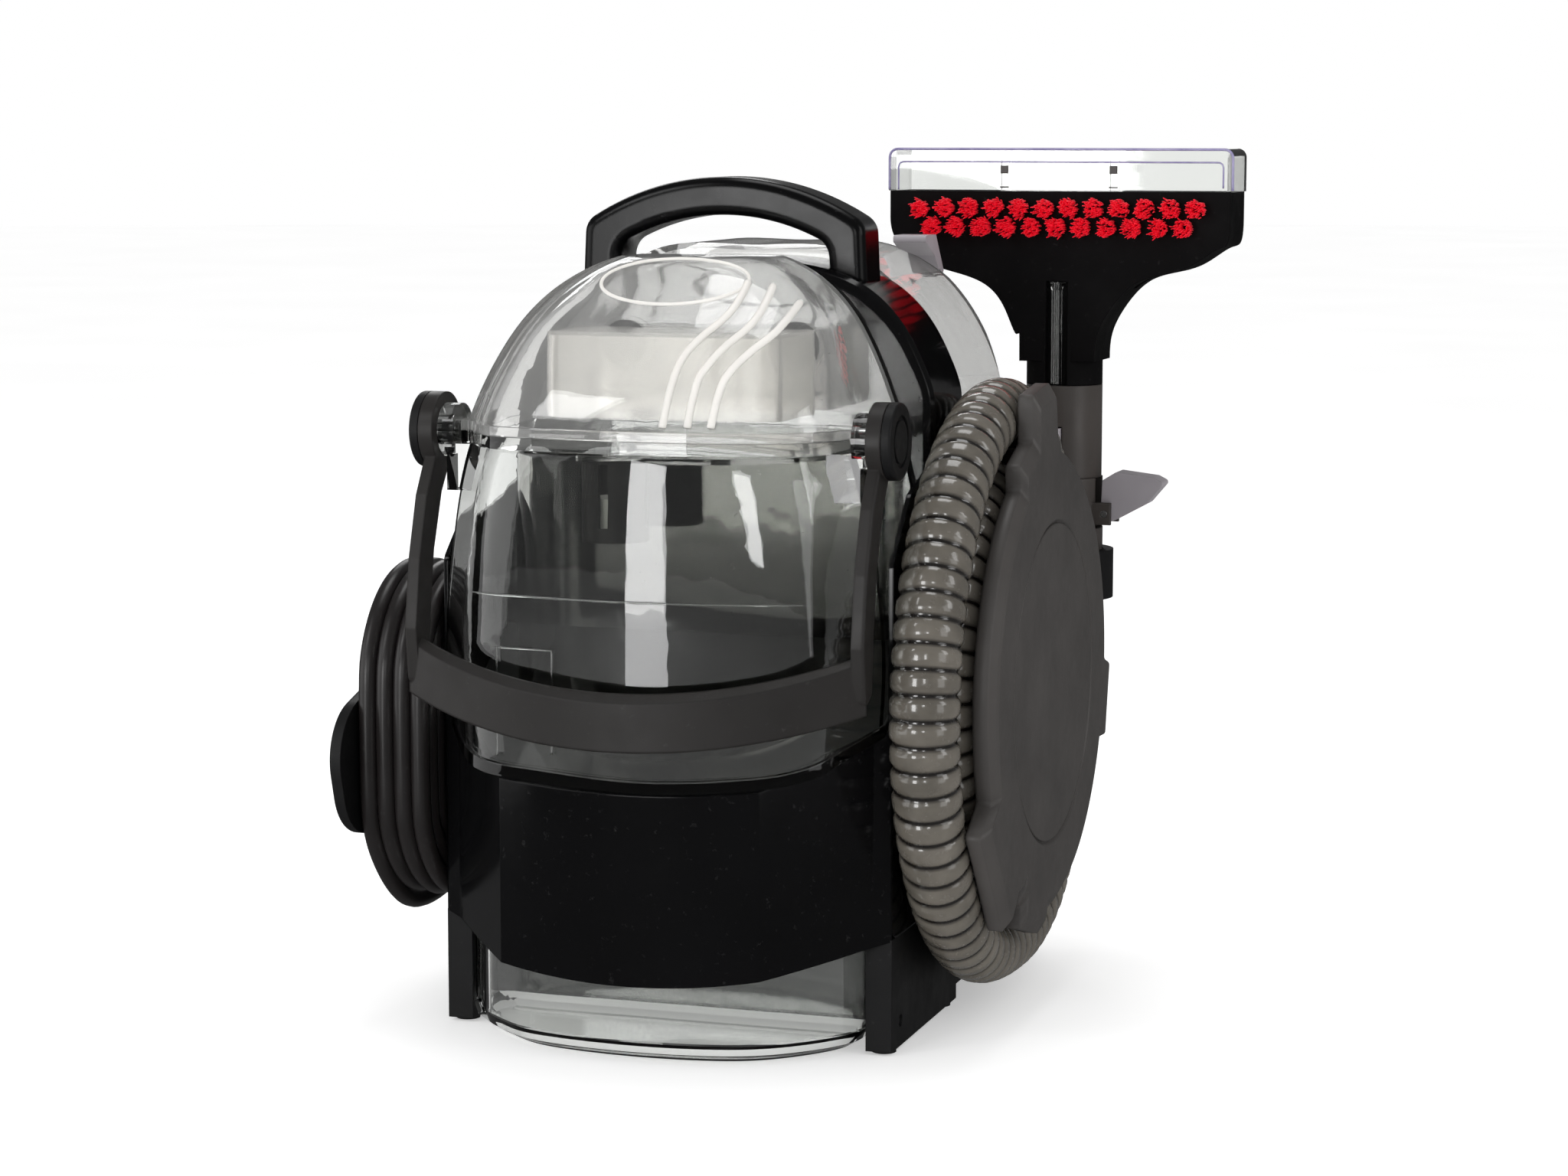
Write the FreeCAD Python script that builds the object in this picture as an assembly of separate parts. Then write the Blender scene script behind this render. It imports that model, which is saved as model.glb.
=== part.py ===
import FreeCAD, Part
import math
import os

# Portable spot extractor for carpet and upholstery. Millimetres, +Z up.
# Origin: on the floor, under the carry handle, in the body's mid-plane.
# +X is the hose side, -Y is the front with the recovery tank.

# ---------------------------------------------------------------- driving dimensions
RAIL_X = 97.0            # outer face of the chassis side rails
RAIL_THICK = 11.0
RAIL_FRONT_Y = -85.0
RAIL_REAR_Y = 13.0
RAIL_TOP_Z = 48.0
RAIL_BOTTOM_Z = 1.5
HOUSING_X = 95.0         # outer face of the lower housing's side walls
WALL = 3.0
REAR_Y = 128.0           # back of the lower housing
REAR_WALL_TOP_Z = 190.0
CLEAN_REAR_Y = 119.0     # back of the clean tank, clear of the stored tool
WELL_FLOOR_Z = 60.0      # floor that the clean tank stands on
TOWER_FRONT_Y = -22.0
TOWER_REAR_Y = 23.7
TOWER_TOP_Z = 318.5
DECK_SLOPE = 0.45        # the recovery tank's seat rises to the rear
DECK_FRONT_Y = -134.0
DECK_FRONT_Z = 110.5     # height of the seat at its front edge
SEAM_Z = 250.0           # joint between recovery tank and dome lid
TANK_BACK_Y = -24.5
CLEAR_WALL = 2.4         # wall of the clear mouldings
COVER_WALL = 2.5
PIVOT_Y = -92.0          # bail handle pivot
PIVOT_Z = 250.0
PIVOT_PIN_R = 4.0
RUNNING_GAP = 0.05
FREE_GAP = 0.3           # between pieces that move past each other
HOSE_R = 14.25
HOSE_X = 113.5           # mid-plane of the wound hose
HUB_Y = 18.0
HUB_Z = 140.0
HUB_R = 70.0
HOSE_INNER_R = 86.0      # centreline of the inner turn
HOSE_OUTER_R = 115.0     # centreline of the outer turn
DISC_X0 = 128.3
DISC_X1 = 138.0
DISC_R = 98.0
CAP_R = 67.5
LATCH_Y = 84.5
LATCH_Z = 323.5
PORT_Y = 9.6             # where the hose port enters the body
PORT_Z = 227.0
PORT_HOLE_R = 13.4
DUCT_Y = 7.0
DUCT_Z = 283.0           # ducts to the lid
GRIP_X = 110.0
GRIP_Y = 145.0
GRIP_R = 18.0
GRIP_BOTTOM_Z = 137.0
SLEEVE_TOP_Z = 257.0
TRIGGER_X = 131.0
TRIGGER_Z = 199.0
HEAD_HALF = 78.0
HEAD_TOP_Z = 344.0
NOZZLE_TOP_Z = 363.0
SPOOL_Y = -50.0
SPOOL_Z = 119.0
SPOOL_R = 26.7           # round ends of the spool, and of the cord wound on it
SPOOL_STRAIGHT = 21.0    # from the middle to where the round ends start
CORD_R = 4.0
COIL_R = 51.0
COIL_X0 = -99.0
COIL_X1 = -131.0
PLATE_X1 = -137.0
PLATE_TILT = 16.0
SHAFT_R = 3.0
SWITCH_Y = 126.5
SWITCH_Z = 168.0
MOTOR_X = -28.0
MOTOR_Y = -22.5


# ---------------------------------------------------------------- shape helpers
def vec(x, y, z):
    return FreeCAD.Vector(x, y, z)


def block(x0, x1, y0, y1, z0, z1):
    return Part.makeBox(x1 - x0, y1 - y0, z1 - z0, vec(x0, y0, z0))


def rod_x(radius, x0, x1, y, z):
    return Part.makeCylinder(radius, x1 - x0, vec(x0, y, z), vec(1, 0, 0))


def rod_y(radius, y0, y1, x, z):
    return Part.makeCylinder(radius, y1 - y0, vec(x, y0, z), vec(0, 1, 0))


def rod_z(radius, z0, z1, x, y):
    return Part.makeCylinder(radius, z1 - z0, vec(x, y, z0), vec(0, 0, 1))


def ring_z(outer, inner, z0, z1, x, y):
    return rod_z(outer, z0, z1, x, y).cut(rod_z(inner, z0 - 1, z1 + 1, x, y))


def rounded_wire(points, radius):
    """A closed wire through the points, each corner rounded by an arc."""
    edges = []
    stops = []
    count = len(points)
    for i in range(count):
        before = points[i - 1]
        corner = points[i]
        after = points[(i + 1) % count]
        to_before = (before - corner).normalize()
        to_after = (after - corner).normalize()
        half = to_before.getAngle(to_after) / 2
        reach = radius / math.tan(half)
        middle = (to_before + to_after).normalize()
        tip = corner + middle * (radius / math.sin(half) - radius)
        stops.append((corner + to_before * reach, tip, corner + to_after * reach))
    for i in range(count):
        start, tip, end = stops[i]
        edges.append(Part.Arc(start, tip, end).toShape())
        nxt = stops[(i + 1) % count][0]
        if (nxt - end).Length > 1e-4:
            edges.append(Part.LineSegment(end, nxt).toShape())
    return Part.Wire(edges)


def outline(points, radius):
    if radius > 0:
        return rounded_wire(points, radius)
    return Part.makePolygon(points + points[:1])


def prism_x(points, x0, x1, radius=0):
    wire = outline([vec(x0, y, z) for y, z in points], radius)
    return Part.Face(wire).extrude(vec(x1 - x0, 0, 0))


def prism_y(points, y0, y1, radius=0):
    wire = outline([vec(x, y0, z) for x, z in points], radius)
    return Part.Face(wire).extrude(vec(0, y1 - y0, 0))


def prism_z(points, z0, z1, radius=0):
    wire = outline([vec(x, y, z0) for x, y in points], radius)
    return Part.Face(wire).extrude(vec(0, 0, z1 - z0))


def join(shapes):
    return shapes[0].multiFuse(shapes[1:]).removeSplitter()


def mirror_x(shape):
    return shape.mirror(vec(0, 0, 0), vec(1, 0, 0))


def both_sides(shape):
    return [shape, mirror_x(shape)]


def soften(shape, radius, wanted):
    edges = [e for e in shape.Edges if wanted(e.BoundBox)]
    return shape.makeFillet(radius, edges)


def spline(points, start, end):
    curve = Part.BSplineCurve()
    curve.interpolate(Points=points, InitialTangent=start, FinalTangent=end)
    return curve.toShape()


def seat_z(y):
    """Height of the inclined seat under the recovery tank."""
    return DECK_FRONT_Z + DECK_SLOPE * (y - DECK_FRONT_Y)


def above_seat(lift):
    """The half-space above the seat plane, raised by lift."""
    y0, y1 = -160.0, 20.0
    return prism_x([(y0, seat_z(y0) + lift), (y1, seat_z(y1) + lift), (y1, 400), (y0, 400)], -150, 150)


def bent_tube(points, radius, bore=0):
    """Straight runs joined by tangent arcs, each as large as its runs allow."""
    edges = []
    last = points[0]
    radii = []
    for i in range(1, len(points) - 1):
        a, b, c = points[i - 1], points[i], points[i + 1]
        back = (a - b).normalize()
        ahead = (c - b).normalize()
        half = back.getAngle(ahead) / 2
        run = 0.45 * min((a - b).Length, (c - b).Length)
        arc_r = run * math.tan(half)
        start = b + back * run
        end = b + ahead * run
        tip = b + (back + ahead).normalize() * (arc_r / math.sin(half) - arc_r)
        edges.append(Part.LineSegment(last, start).toShape())
        edges.append(Part.Arc(start, tip, end).toShape())
        last = end
        radii.append(round(arc_r, 1))
    edges.append(Part.LineSegment(last, points[-1]).toShape())
    path = Part.Wire(edges)
    direction = (points[1] - points[0]).normalize()
    rim = Part.Wire([Part.makeCircle(radius, points[0], direction)])
    tube = path.makePipeShell([rim], True, False, 2)
    if bore:
        hole = Part.Wire([Part.makeCircle(bore, points[0], direction)])
        tube = tube.cut(path.makePipeShell([hole], True, False, 2))
    print("tube radii", radii, "length", round(path.Length, 1),
          "volume ratio", round(tube.Volume / (math.pi * (radius**2 - bore**2) * path.Length), 3))
    return tube


def save(name, shape):
    solids = shape.Solids
    if not solids or not shape.isValid():
        print("CHECK", name, "solids", len(solids), "valid", shape.isValid())
    if len(solids) == 1:
        shape = solids[0]
    else:
        shape = Part.makeCompound(solids)
    shape.exportStep("parts/" + name + ".step")
    box = shape.BoundBox
    print(f"{name:22s} {len(solids):3d} solids  X {box.XMin:7.1f} {box.XMax:7.1f}"
          f"  Y {box.YMin:7.1f} {box.YMax:7.1f}  Z {box.ZMin:6.1f} {box.ZMax:6.1f}")


# ---------------------------------------------------------------- chassis and housings
def chassis_base():
    rail = block(RAIL_X - RAIL_THICK, RAIL_X, RAIL_FRONT_Y, RAIL_REAR_Y, RAIL_BOTTOM_Z, RAIL_TOP_Z)
    rail = rail.cut(rod_x(2.6, RAIL_X - 3, RAIL_X + 1, -72, 12))
    skirt = block(86, 94, RAIL_REAR_Y, 126, 5, 30)
    floor = block(-86, 86, -58, 126, 6, 9)
    cross_wall = block(-86, 86, -58, -55, 9, 44)
    rear_skirt = block(-86, 86, 123, 126, 9, 30)
    ribs = [block(-86, 86, y, y + 2, 9, 14) for y in (15, 118)]
    return join([floor, cross_wall, rear_skirt] + both_sides(rail) + both_sides(skirt) + ribs)


def rubber_feet():
    front = [rod_z(5, 0, RAIL_BOTTOM_Z, x, y) for x in (-91.5, 91.5) for y in (-77, 5)]
    rear = [rod_z(9, 0, 6, x, 112) for x in (-70, 70)]
    centre = [rod_z(12, 0, 6, 0, 0)]
    return Part.makeCompound(front + rear + centre)


def base_plan(inset, z):
    """A straight back and a bowed front; each point has the direction that it is drawn in against."""
    bow = [(84, -60, 1.0, -1.0), (83, -83, 0.97, 0.25), (77, -95, 0.82, 0.57), (66, -108, 0.72, 0.69),
           (52, -119, 0.55, 0.83), (30, -126.5, 0.25, 0.97), (0, -129.2, 0.0, 1.0)]
    right = [vec(x - inset * across, y + inset * ahead, z) for x, y, across, ahead in bow]
    left = [vec(-p.x, p.y, z) for p in reversed(right[:-1])]
    front = spline(right + left, vec(0, -1, 0), vec(0, 1, 0))
    return Part.Wire([front, Part.LineSegment(left[-1], right[0]).toShape()])


def clear_base_shell():
    outer = Part.makeLoft([base_plan(7.0, 1.5), base_plan(2.0, 4.5), base_plan(0.0, 10.0)], True, True)
    outer = outer.fuse(Part.Face(base_plan(0.0, 10.0)).extrude(vec(0, 0, 32))).removeSplitter()
    inner = Part.Face(base_plan(3.0, 9.0)).extrude(vec(0, 0, 40))
    inner = inner.fuse(Part.makeLoft([base_plan(9.0, 4.5), base_plan(3.0, 9.0)], True, True))
    return outer.cut(inner.removeSplitter())


def housing_side():
    seat_under = -0.3 - WALL
    return [(-84.7, RAIL_TOP_Z), (-84.7, seat_z(-84.7) + seat_under),
            (TOWER_FRONT_Y, seat_z(TOWER_FRONT_Y) + seat_under), (24.0, seat_z(TOWER_FRONT_Y) + seat_under),
            (24.0, 250.0), (60.0, 244.0), (REAR_Y, 205.0), (REAR_Y, 30.0), (13.0, 30.0),
            (13.0, RAIL_TOP_Z)]


def lower_housing():
    side = prism_x(housing_side(), HOUSING_X - WALL, HOUSING_X)
    side = soften(side, 14.0,
                  lambda b: b.YLength < 0.01 and b.ZLength < 0.01 and b.ZMin > 240 and b.YMin > 20)
    inner = HOUSING_X - WALL
    well_top = seat_z(TOWER_FRONT_Y) - 0.3 - WALL
    rear = block(-inner, inner, REAR_Y - WALL, REAR_Y, 30, REAR_WALL_TOP_Z)
    well_floor = block(-inner, inner, 21, REAR_Y - WALL, WELL_FLOOR_Z - WALL, WELL_FLOOR_Z)
    well_front = block(-inner, inner, 21, 24, WELL_FLOOR_Z, well_top)
    vents = [block(-60 + 12 * i, -54 + 12 * i, REAR_Y - 5, REAR_Y + 1, 34, 52) for i in range(6)]
    shell = join([rear, well_floor, well_front] + both_sides(side))
    window = block(-14, 14, REAR_Y - 5, REAR_Y + 1, SWITCH_Z - 8, SWITCH_Z + 8)
    trunnion_bore = rod_x(1.5 + RUNNING_GAP, -16, 16, SWITCH_Y, SWITCH_Z)
    return shell.cut(Part.makeCompound(vents)).cut(window).cut(trunnion_bore)


def cover_plan(inset, z):
    corner = vec(RAIL_X - inset * 1.1, -84.7, z)
    bend = vec(90.0 - inset * 0.9, -88.0 + inset * 0.4, z)
    crease = vec(55.0 - inset * 0.55, -128.0 + inset, z)
    nose = vec(0, DECK_FRONT_Y + inset, z)
    flip = [vec(-p.x, p.y, z) for p in (crease, bend, corner)]
    edges = [Part.LineSegment(corner, bend).toShape(), Part.LineSegment(bend, crease).toShape(),
             Part.Arc(crease, nose, flip[0]).toShape(), Part.LineSegment(flip[0], flip[1]).toShape(),
             Part.LineSegment(flip[1], flip[2]).toShape(), Part.LineSegment(flip[2], corner).toShape()]
    return Part.Wire(edges)


def front_cover():
    outer = Part.Face(cover_plan(0, 20)).extrude(vec(0, 0, 130))
    inner = Part.Face(cover_plan(COVER_WALL, 20)).extrude(vec(0, 0, 130))
    wall = outer.cut(inner).cut(above_seat(0))
    low = vec(0, -150, 33)
    left, right = vec(-99, -150, 48), vec(99, -150, 48)
    under = Part.Wire([Part.Arc(left, low, right).toShape(),
                       Part.LineSegment(right, vec(99, -150, 10)).toShape(),
                       Part.LineSegment(vec(99, -150, 10), vec(-99, -150, 10)).toShape(),
                       Part.LineSegment(vec(-99, -150, 10), left).toShape()])
    return wall.cut(Part.Face(under).extrude(vec(0, 80, 0)))


def tank_deck():
    front = Part.Face(cover_plan(COVER_WALL + 0.3, 90)).extrude(vec(0, 0, 120))
    rear = block(-HOUSING_X, HOUSING_X, -84.7, TOWER_FRONT_Y, 90, 210)
    plan = front.fuse(rear).removeSplitter()
    return plan.common(above_seat(-0.3 - WALL)).cut(above_seat(-0.3))


def side_panel_hose():
    points = [(-84.7, RAIL_TOP_Z), (-84.7, 200), (-60, 226), (24, 250), (60, 243), (118, 208),
              (118, RAIL_TOP_Z)]
    return prism_x(points, HOUSING_X, RAIL_X, 6).cut(rod_x(PORT_HOLE_R, 90, 100, PORT_Y, PORT_Z))


def side_panel_cord():
    points = [(-84.7, RAIL_TOP_Z), (-84.7, 196), (-66, 212), (24, 232), (118, 206), (118, RAIL_TOP_Z)]
    return prism_x(points, -RAIL_X, -HOUSING_X, 6)


def arched_wire(y, half_width, foot_z, spring_z, crown):
    """Straight sides from foot_z to spring_z, closed above by a smooth arch."""
    right = [vec(half_width, y, spring_z)] + [vec(x, y, z) for x, z in crown]
    left = [vec(-p.x, y, p.z) for p in reversed(right[:-1])]
    arch = spline(right + left, vec(0, 0, 1), vec(0, 0, -1))
    low_right, low_left = vec(half_width, y, foot_z), vec(-half_width, y, foot_z)
    return Part.Wire([Part.LineSegment(low_right, right[0]).toShape(), arch,
                      Part.LineSegment(left[-1], low_left).toShape(),
                      Part.LineSegment(low_left, low_right).toShape()])


def tower_wire(inset, y, foot_z):
    crown = [(91 - inset, 274 - inset * 0.4), (82 - inset, 291 - inset * 0.7), (64 - inset, 308 - inset),
             (38 - inset * 0.6, 316.3 - inset), (0, TOWER_TOP_Z - inset)]
    return arched_wire(y, HOUSING_X - inset, foot_z, 258, crown)


def tower_solid(inset, y0, y1, foot_z):
    return Part.Face(tower_wire(inset, y0, foot_z)).extrude(vec(0, y1 - y0, 0))


def tower_housing():
    foot = seat_z(TOWER_FRONT_Y) - WALL
    edge = [tower_wire(4.0, TOWER_FRONT_Y, foot), tower_wire(1.2, TOWER_FRONT_Y + 1.2, foot),
            tower_wire(0.0, TOWER_FRONT_Y + 4.0, foot)]
    outer = Part.makeLoft(edge, True, True).fuse(tower_solid(0, TOWER_FRONT_Y + 4.0, TOWER_REAR_Y, foot))
    inner = tower_solid(WALL + 1, TOWER_FRONT_Y + WALL, TOWER_REAR_Y - WALL, foot - 1)
    shell = outer.cut(inner)
    ports = [rod_y(12.6, TOWER_FRONT_Y - 1, TOWER_FRONT_Y + 5, x, DUCT_Z) for x in (-38, 38)]
    ports.append(rod_x(PORT_HOLE_R, 88, 100, PORT_Y, PORT_Z))
    return shell.cut(Part.makeCompound(ports))


def carry_handle():
    right, left = vec(62, -13, 333), vec(-62, -13, 333)
    in_right, in_left = vec(46, -13, 324), vec(-46, -13, 324)
    foot = [vec(64, -13, 290), vec(48, -13, 290), vec(-48, -13, 290), vec(-64, -13, 290)]
    wire = Part.Wire([Part.LineSegment(foot[0], right).toShape(),
                      Part.Arc(right, vec(0, -13, 352), left).toShape(),
                      Part.LineSegment(left, foot[3]).toShape(),
                      Part.LineSegment(foot[3], foot[2]).toShape(),
                      Part.LineSegment(foot[2], in_left).toShape(),
                      Part.Arc(in_left, vec(0, -13, 336), in_right).toShape(),
                      Part.LineSegment(in_right, foot[1]).toShape(),
                      Part.LineSegment(foot[1], foot[0]).toShape()])
    bow = Part.Face(wire).extrude(vec(0, 26, 0))
    bow = soften(bow, 9.0, lambda b: b.YLength > 25 and b.XLength < 0.1 and b.ZMin > 320)
    bow = soften(bow, 4.5, lambda b: b.YLength < 0.01)
    return bow.cut(tower_solid(-0.02, TOWER_FRONT_Y, TOWER_REAR_Y, 200))


def screws():
    handle = [rod_z(2.2, 290, 304, x, 0) for x in (-56, 56)]
    rail = both_sides(rod_x(2.4, RAIL_X - 2.9, RAIL_X - 1.0, -72, 12))
    return Part.makeCompound(handle + rail)


# ---------------------------------------------------------------- recovery tank and lid
TANK_ROWS = [(100.0, 94.3, -130.5), (150.0, 94.6, -131.5), (178.0, 94.0, -131.0), (196.0, 92.0, -130.5),
             (218.0, 89.0, -129.0), (238.0, 84.5, -127.0), (250.0, 80.5, -124.5)]
DOME_ROWS = [(251.5, 82.3, -125.0), (258.0, 80.3, -123.5), (268.0, 76.8, -119.5), (281.0, 71.3, -111.5),
             (296.0, 63.0, -98.0), (307.0, 53.5, -85.0), (315.0, 42.5, -73.0), (320.0, 31.0, -64.0)]


def tank_plan(z, half_width, front_y, inset=0.0):
    w, front, back = half_width - inset, front_y + inset, TANK_BACK_Y - inset
    side_y = -88.0 + inset * 0.4
    crease_x, crease_y = 0.83 * half_width - inset * 0.75, front_y + 21.0 + inset * 0.75
    bow = spline([vec(crease_x, crease_y, z), vec(0.5 * w, front + 5.0, z), vec(0, front, z),
                  vec(-0.5 * w, front + 5.0, z), vec(-crease_x, crease_y, z)],
                 vec(-0.55, -0.8, 0), vec(-0.55, 0.8, 0))
    corners = [vec(-crease_x, crease_y, z), vec(-w, side_y, z), vec(-w, back, z), vec(w, back, z),
               vec(w, side_y, z), vec(crease_x, crease_y, z)]
    sides = [Part.LineSegment(corners[i], corners[i + 1]).toShape() for i in range(5)]
    return Part.Wire([bow] + sides)


def dome_plan(z, half_width, front_y, inset=0.0, back_y=TANK_BACK_Y):
    w, front, back = half_width - inset, front_y + inset, back_y - inset
    side_y = back - 0.34 * (back - front)
    power = 3.0
    points = []
    for i in range(9):
        t = math.pi * i / 8
        x = w * math.copysign(abs(math.cos(t)) ** (2 / power), math.cos(t))
        y = side_y - (side_y - front) * math.sin(t) ** (2 / power)
        points.append(vec(x, y, z))
    bow = spline(points, vec(0, -1, 0), vec(0, 1, 0))
    corners = [vec(-w, side_y, z), vec(-w, back, z), vec(w, back, z), vec(w, side_y, z)]
    sides = [Part.LineSegment(corners[i], corners[i + 1]).toShape() for i in range(3)]
    return Part.Wire([bow] + sides)


def seam_flange(z0, z1):
    ring = Part.Face(dome_plan(z0, 84.2, -127.5)).extrude(vec(0, 0, z1 - z0))
    hole = Part.Face(dome_plan(z0, 84.2, -127.5, 7.0)).extrude(vec(0, 0, z1 - z0))
    return ring.cut(hole)


def pivot_boss():
    boss = rod_x(11, 84.6, 91.3, PIVOT_Y, PIVOT_Z)
    gusset = block(74, 88, PIVOT_Y - 9, PIVOT_Y + 9, 226, 245)
    web = block(84.6, 89, PIVOT_Y - 9, PIVOT_Y + 9, 240, 250)
    return join([boss, gusset, web])


def recovery_tank():
    outer = Part.makeLoft([tank_plan(*row) for row in TANK_ROWS], True, False)
    inner = Part.makeLoft([tank_plan(*row, inset=CLEAR_WALL) for row in TANK_ROWS], True, False)
    outer = outer.common(above_seat(0))
    inner = inner.common(above_seat(CLEAR_WALL))
    rim = Part.Face(tank_plan(100, 94.6, -132.6)).extrude(vec(0, 0, 90))
    rim = rim.common(above_seat(0)).cut(above_seat(5.0))
    solid = join([outer, rim, seam_flange(SEAM_Z - 5, SEAM_Z)] + both_sides(pivot_boss()))
    solid = solid.cut(inner)
    pins = [rod_x(PIVOT_PIN_R, 84, 99, PIVOT_Y, PIVOT_Z), rod_x(PIVOT_PIN_R, -99, -84, PIVOT_Y, PIVOT_Z)]
    return solid.cut(Part.makeCompound(pins))


def pivot_caps():
    cap = rod_x(15.5, 98.2, 102.2, PIVOT_Y, PIVOT_Z)
    cap = soften(cap, 1.2, lambda b: b.XMin > 102 and b.XLength < 0.01)
    ring = rod_x(10.5, 101.2, 103, PIVOT_Y, PIVOT_Z).cut(rod_x(8.5, 101, 103, PIVOT_Y, PIVOT_Z))
    pin = rod_x(PIVOT_PIN_R, 84.8, 99.0, PIVOT_Y, PIVOT_Z)
    return Part.makeCompound(both_sides(join([cap.cut(ring), pin])))


def separator_plan(inset):
    """A smooth bow that follows the front of the tank, closed at the back."""
    right = [vec(72 - inset, -36, 110), vec(70 - inset, -70, 110), vec(57 - inset, -96 + inset, 110),
             vec(30, -111 + inset, 110), vec(0, -115 + inset, 110)]
    left = [vec(-p.x, p.y, p.z) for p in reversed(right[:-1])]
    bow = spline(right + left, vec(0, -1, 0), vec(0, 1, 0))
    return Part.Face(Part.Wire([bow, Part.LineSegment(left[-1], right[0]).toShape()]))


def tank_separator():
    top_z = 240.0
    wall = separator_plan(0).extrude(vec(0, 0, top_z - 110))
    hollow = separator_plan(3.5).extrude(vec(0, 0, top_z - 110))
    wall = wall.cut(hollow).common(above_seat(CLEAR_WALL))
    roof = separator_plan(0).extrude(vec(0, 0, 2.5))
    roof.translate(vec(0, 0, top_z - 110))
    inlet = rod_z(17, top_z - 5, top_z + 10, 30, -60)
    cage_hole = rod_z(14 + FREE_GAP, top_z - 5, top_z + 10, -30, -60)
    return join([wall, roof]).cut(inlet).cut(cage_hole)


def float_cage():
    cage = ring_z(14, 12, 205, 240, -30, -60)
    cage = cage.fuse(rod_z(14, 203, 205, -30, -60)).removeSplitter()
    slots = [block(-50, -10, -62, -58, 209, 235), block(-32, -28, -80, -40, 209, 235)]
    return cage.cut(Part.makeCompound(slots))


def float_ball():
    return rod_z(10, 205.2, 221, -30, -60)


def bail_handle():
    centre = vec(0, -147, 120)
    right, left = vec(97, -121, 120), vec(-97, -121, 120)
    in_right, in_left = vec(91.7, -119.2, 120), vec(-91.7, -119.2, 120)
    inner = vec(0, -141.8, 120)
    wire = Part.Wire([Part.Arc(right, centre, left).toShape(), Part.LineSegment(left, in_left).toShape(),
                      Part.Arc(in_left, inner, in_right).toShape(),
                      Part.LineSegment(in_right, right).toShape()])
    band = Part.Face(wire).extrude(vec(0, 0, 70))
    slope = [(-150, 127.9), (-117, 147.5), (-117, 169.0), (-150, 147.2)]
    band = band.common(prism_x(slope, -100, 100))
    arm_side = [(-101, 244), (-113, 225), (-121, 200), (-125.5, 172), (-122.5, 147.5), (-113, 152),
                (-111, 176), (-106.5, 202), (-98, 225), (-84, 244)]
    arm = prism_x(arm_side, 91.7, 97, 3)
    arm = soften(arm, 1.2, lambda b: b.XMin > 96.9)
    eye = rod_x(15.5, 91.7, 97.9, PIVOT_Y, PIVOT_Z)
    bow = join([band] + both_sides(arm) + both_sides(eye))
    bore = rod_x(PIVOT_PIN_R + RUNNING_GAP, 91, 99, PIVOT_Y, PIVOT_Z)
    return bow.cut(Part.makeCompound(both_sides(bore)))


def dome_lid():
    # The shell starts inside the flange, so that no two of their faces lie in one plane.
    outer = Part.makeLoft([dome_plan(*row) for row in DOME_ROWS], True, False)
    low = [(z - (1.5 if z < 300 else 2.3), w, y) for z, w, y in DOME_ROWS]
    inner = Part.makeLoft([dome_plan(*row, inset=CLEAR_WALL, back_y=TANK_BACK_Y - 0.3) for row in low],
                          True, False)
    flange = Part.Face(dome_plan(SEAM_Z + FREE_GAP, 84.2, -127.5)).extrude(vec(0, 0, 3.7))
    solid = outer.fuse(flange).cut(inner)
    ports = [rod_y(10.5, -30, -20, x, DUCT_Z) for x in (-38, 38)]
    return solid.cut(Part.makeCompound(ports)).removeSplitter()


def baffle_box():
    box = block(-50, 50, -90, -34, 256, 290)
    box = soften(box, 7, lambda b: b.ZLength > 30)
    hole = block(-48.2, 48.2, -88.2, -35.8, 250, 288.4)
    hole = soften(hole, 5.2, lambda b: b.ZLength > 30)
    foot = block(-46, 46, -34, -27.2, 262, 264)
    return box.cut(hole).fuse(foot).removeSplitter()


# ---------------------------------------------------------------- clean water tank
def clean_tank_solid(inset):
    crown = [(86 - inset, 268 - inset * 0.4), (78 - inset, 288 - inset * 0.7), (62 - inset, 309 - inset),
             (44 - inset * 0.6, 320 - inset), (0, 322.5 - inset)]
    wire = arched_wire(20, 89 - inset, WELL_FLOOR_Z + FREE_GAP + inset, 250, crown)
    arch = Part.Face(wire).extrude(vec(0, 110, 0))
    side = [(26 + inset, 50), (26 + inset, 330), (97 - inset * 0.5, 330), (97 - inset * 0.5, 321 - inset),
            (109 - inset, 306 - inset * 0.5), (CLEAN_REAR_Y - inset, 262 - inset * 0.2),
            (CLEAN_REAR_Y - inset, 50)]
    return arch.common(prism_x(side, -100, 100))


def clean_tank():
    outer = clean_tank_solid(0)
    outer = soften(outer, 5.0, lambda b: b.YMin > CLEAN_REAR_Y - 0.5 and b.ZLength > 150 and b.XLength < 1)
    shell = outer.cut(clean_tank_solid(CLEAR_WALL))
    neck = rod_z(11, WELL_FLOOR_Z + FREE_GAP, 68, 0, 75)
    bore = rod_z(8, 50, 80, 0, 75)
    return shell.fuse(neck).cut(bore).removeSplitter()


def clean_tank_valve():
    stem = rod_z(3, 62, 84, 0, 75)
    return join([stem, rod_z(10, 68.4, 72, 0, 75)])


def tank_latch():
    side = [(84.5, 321.7), (86, 325.3), (99, 325.3), (112, 309), (108, 305), (97, 316)]
    wedge = prism_x(side, 47, 62).fuse(rod_x(1.8, 47, 62, LATCH_Y, LATCH_Z))
    wedge = wedge.cut(clean_tank_solid(-FREE_GAP))
    return max(wedge.Solids, key=lambda s: s.Volume)


# ---------------------------------------------------------------- hose side
def polar(radius, degrees, x=HOSE_X):
    a = math.radians(degrees)
    return vec(x, HUB_Y + radius * math.cos(a), HUB_Z + radius * math.sin(a))


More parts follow.
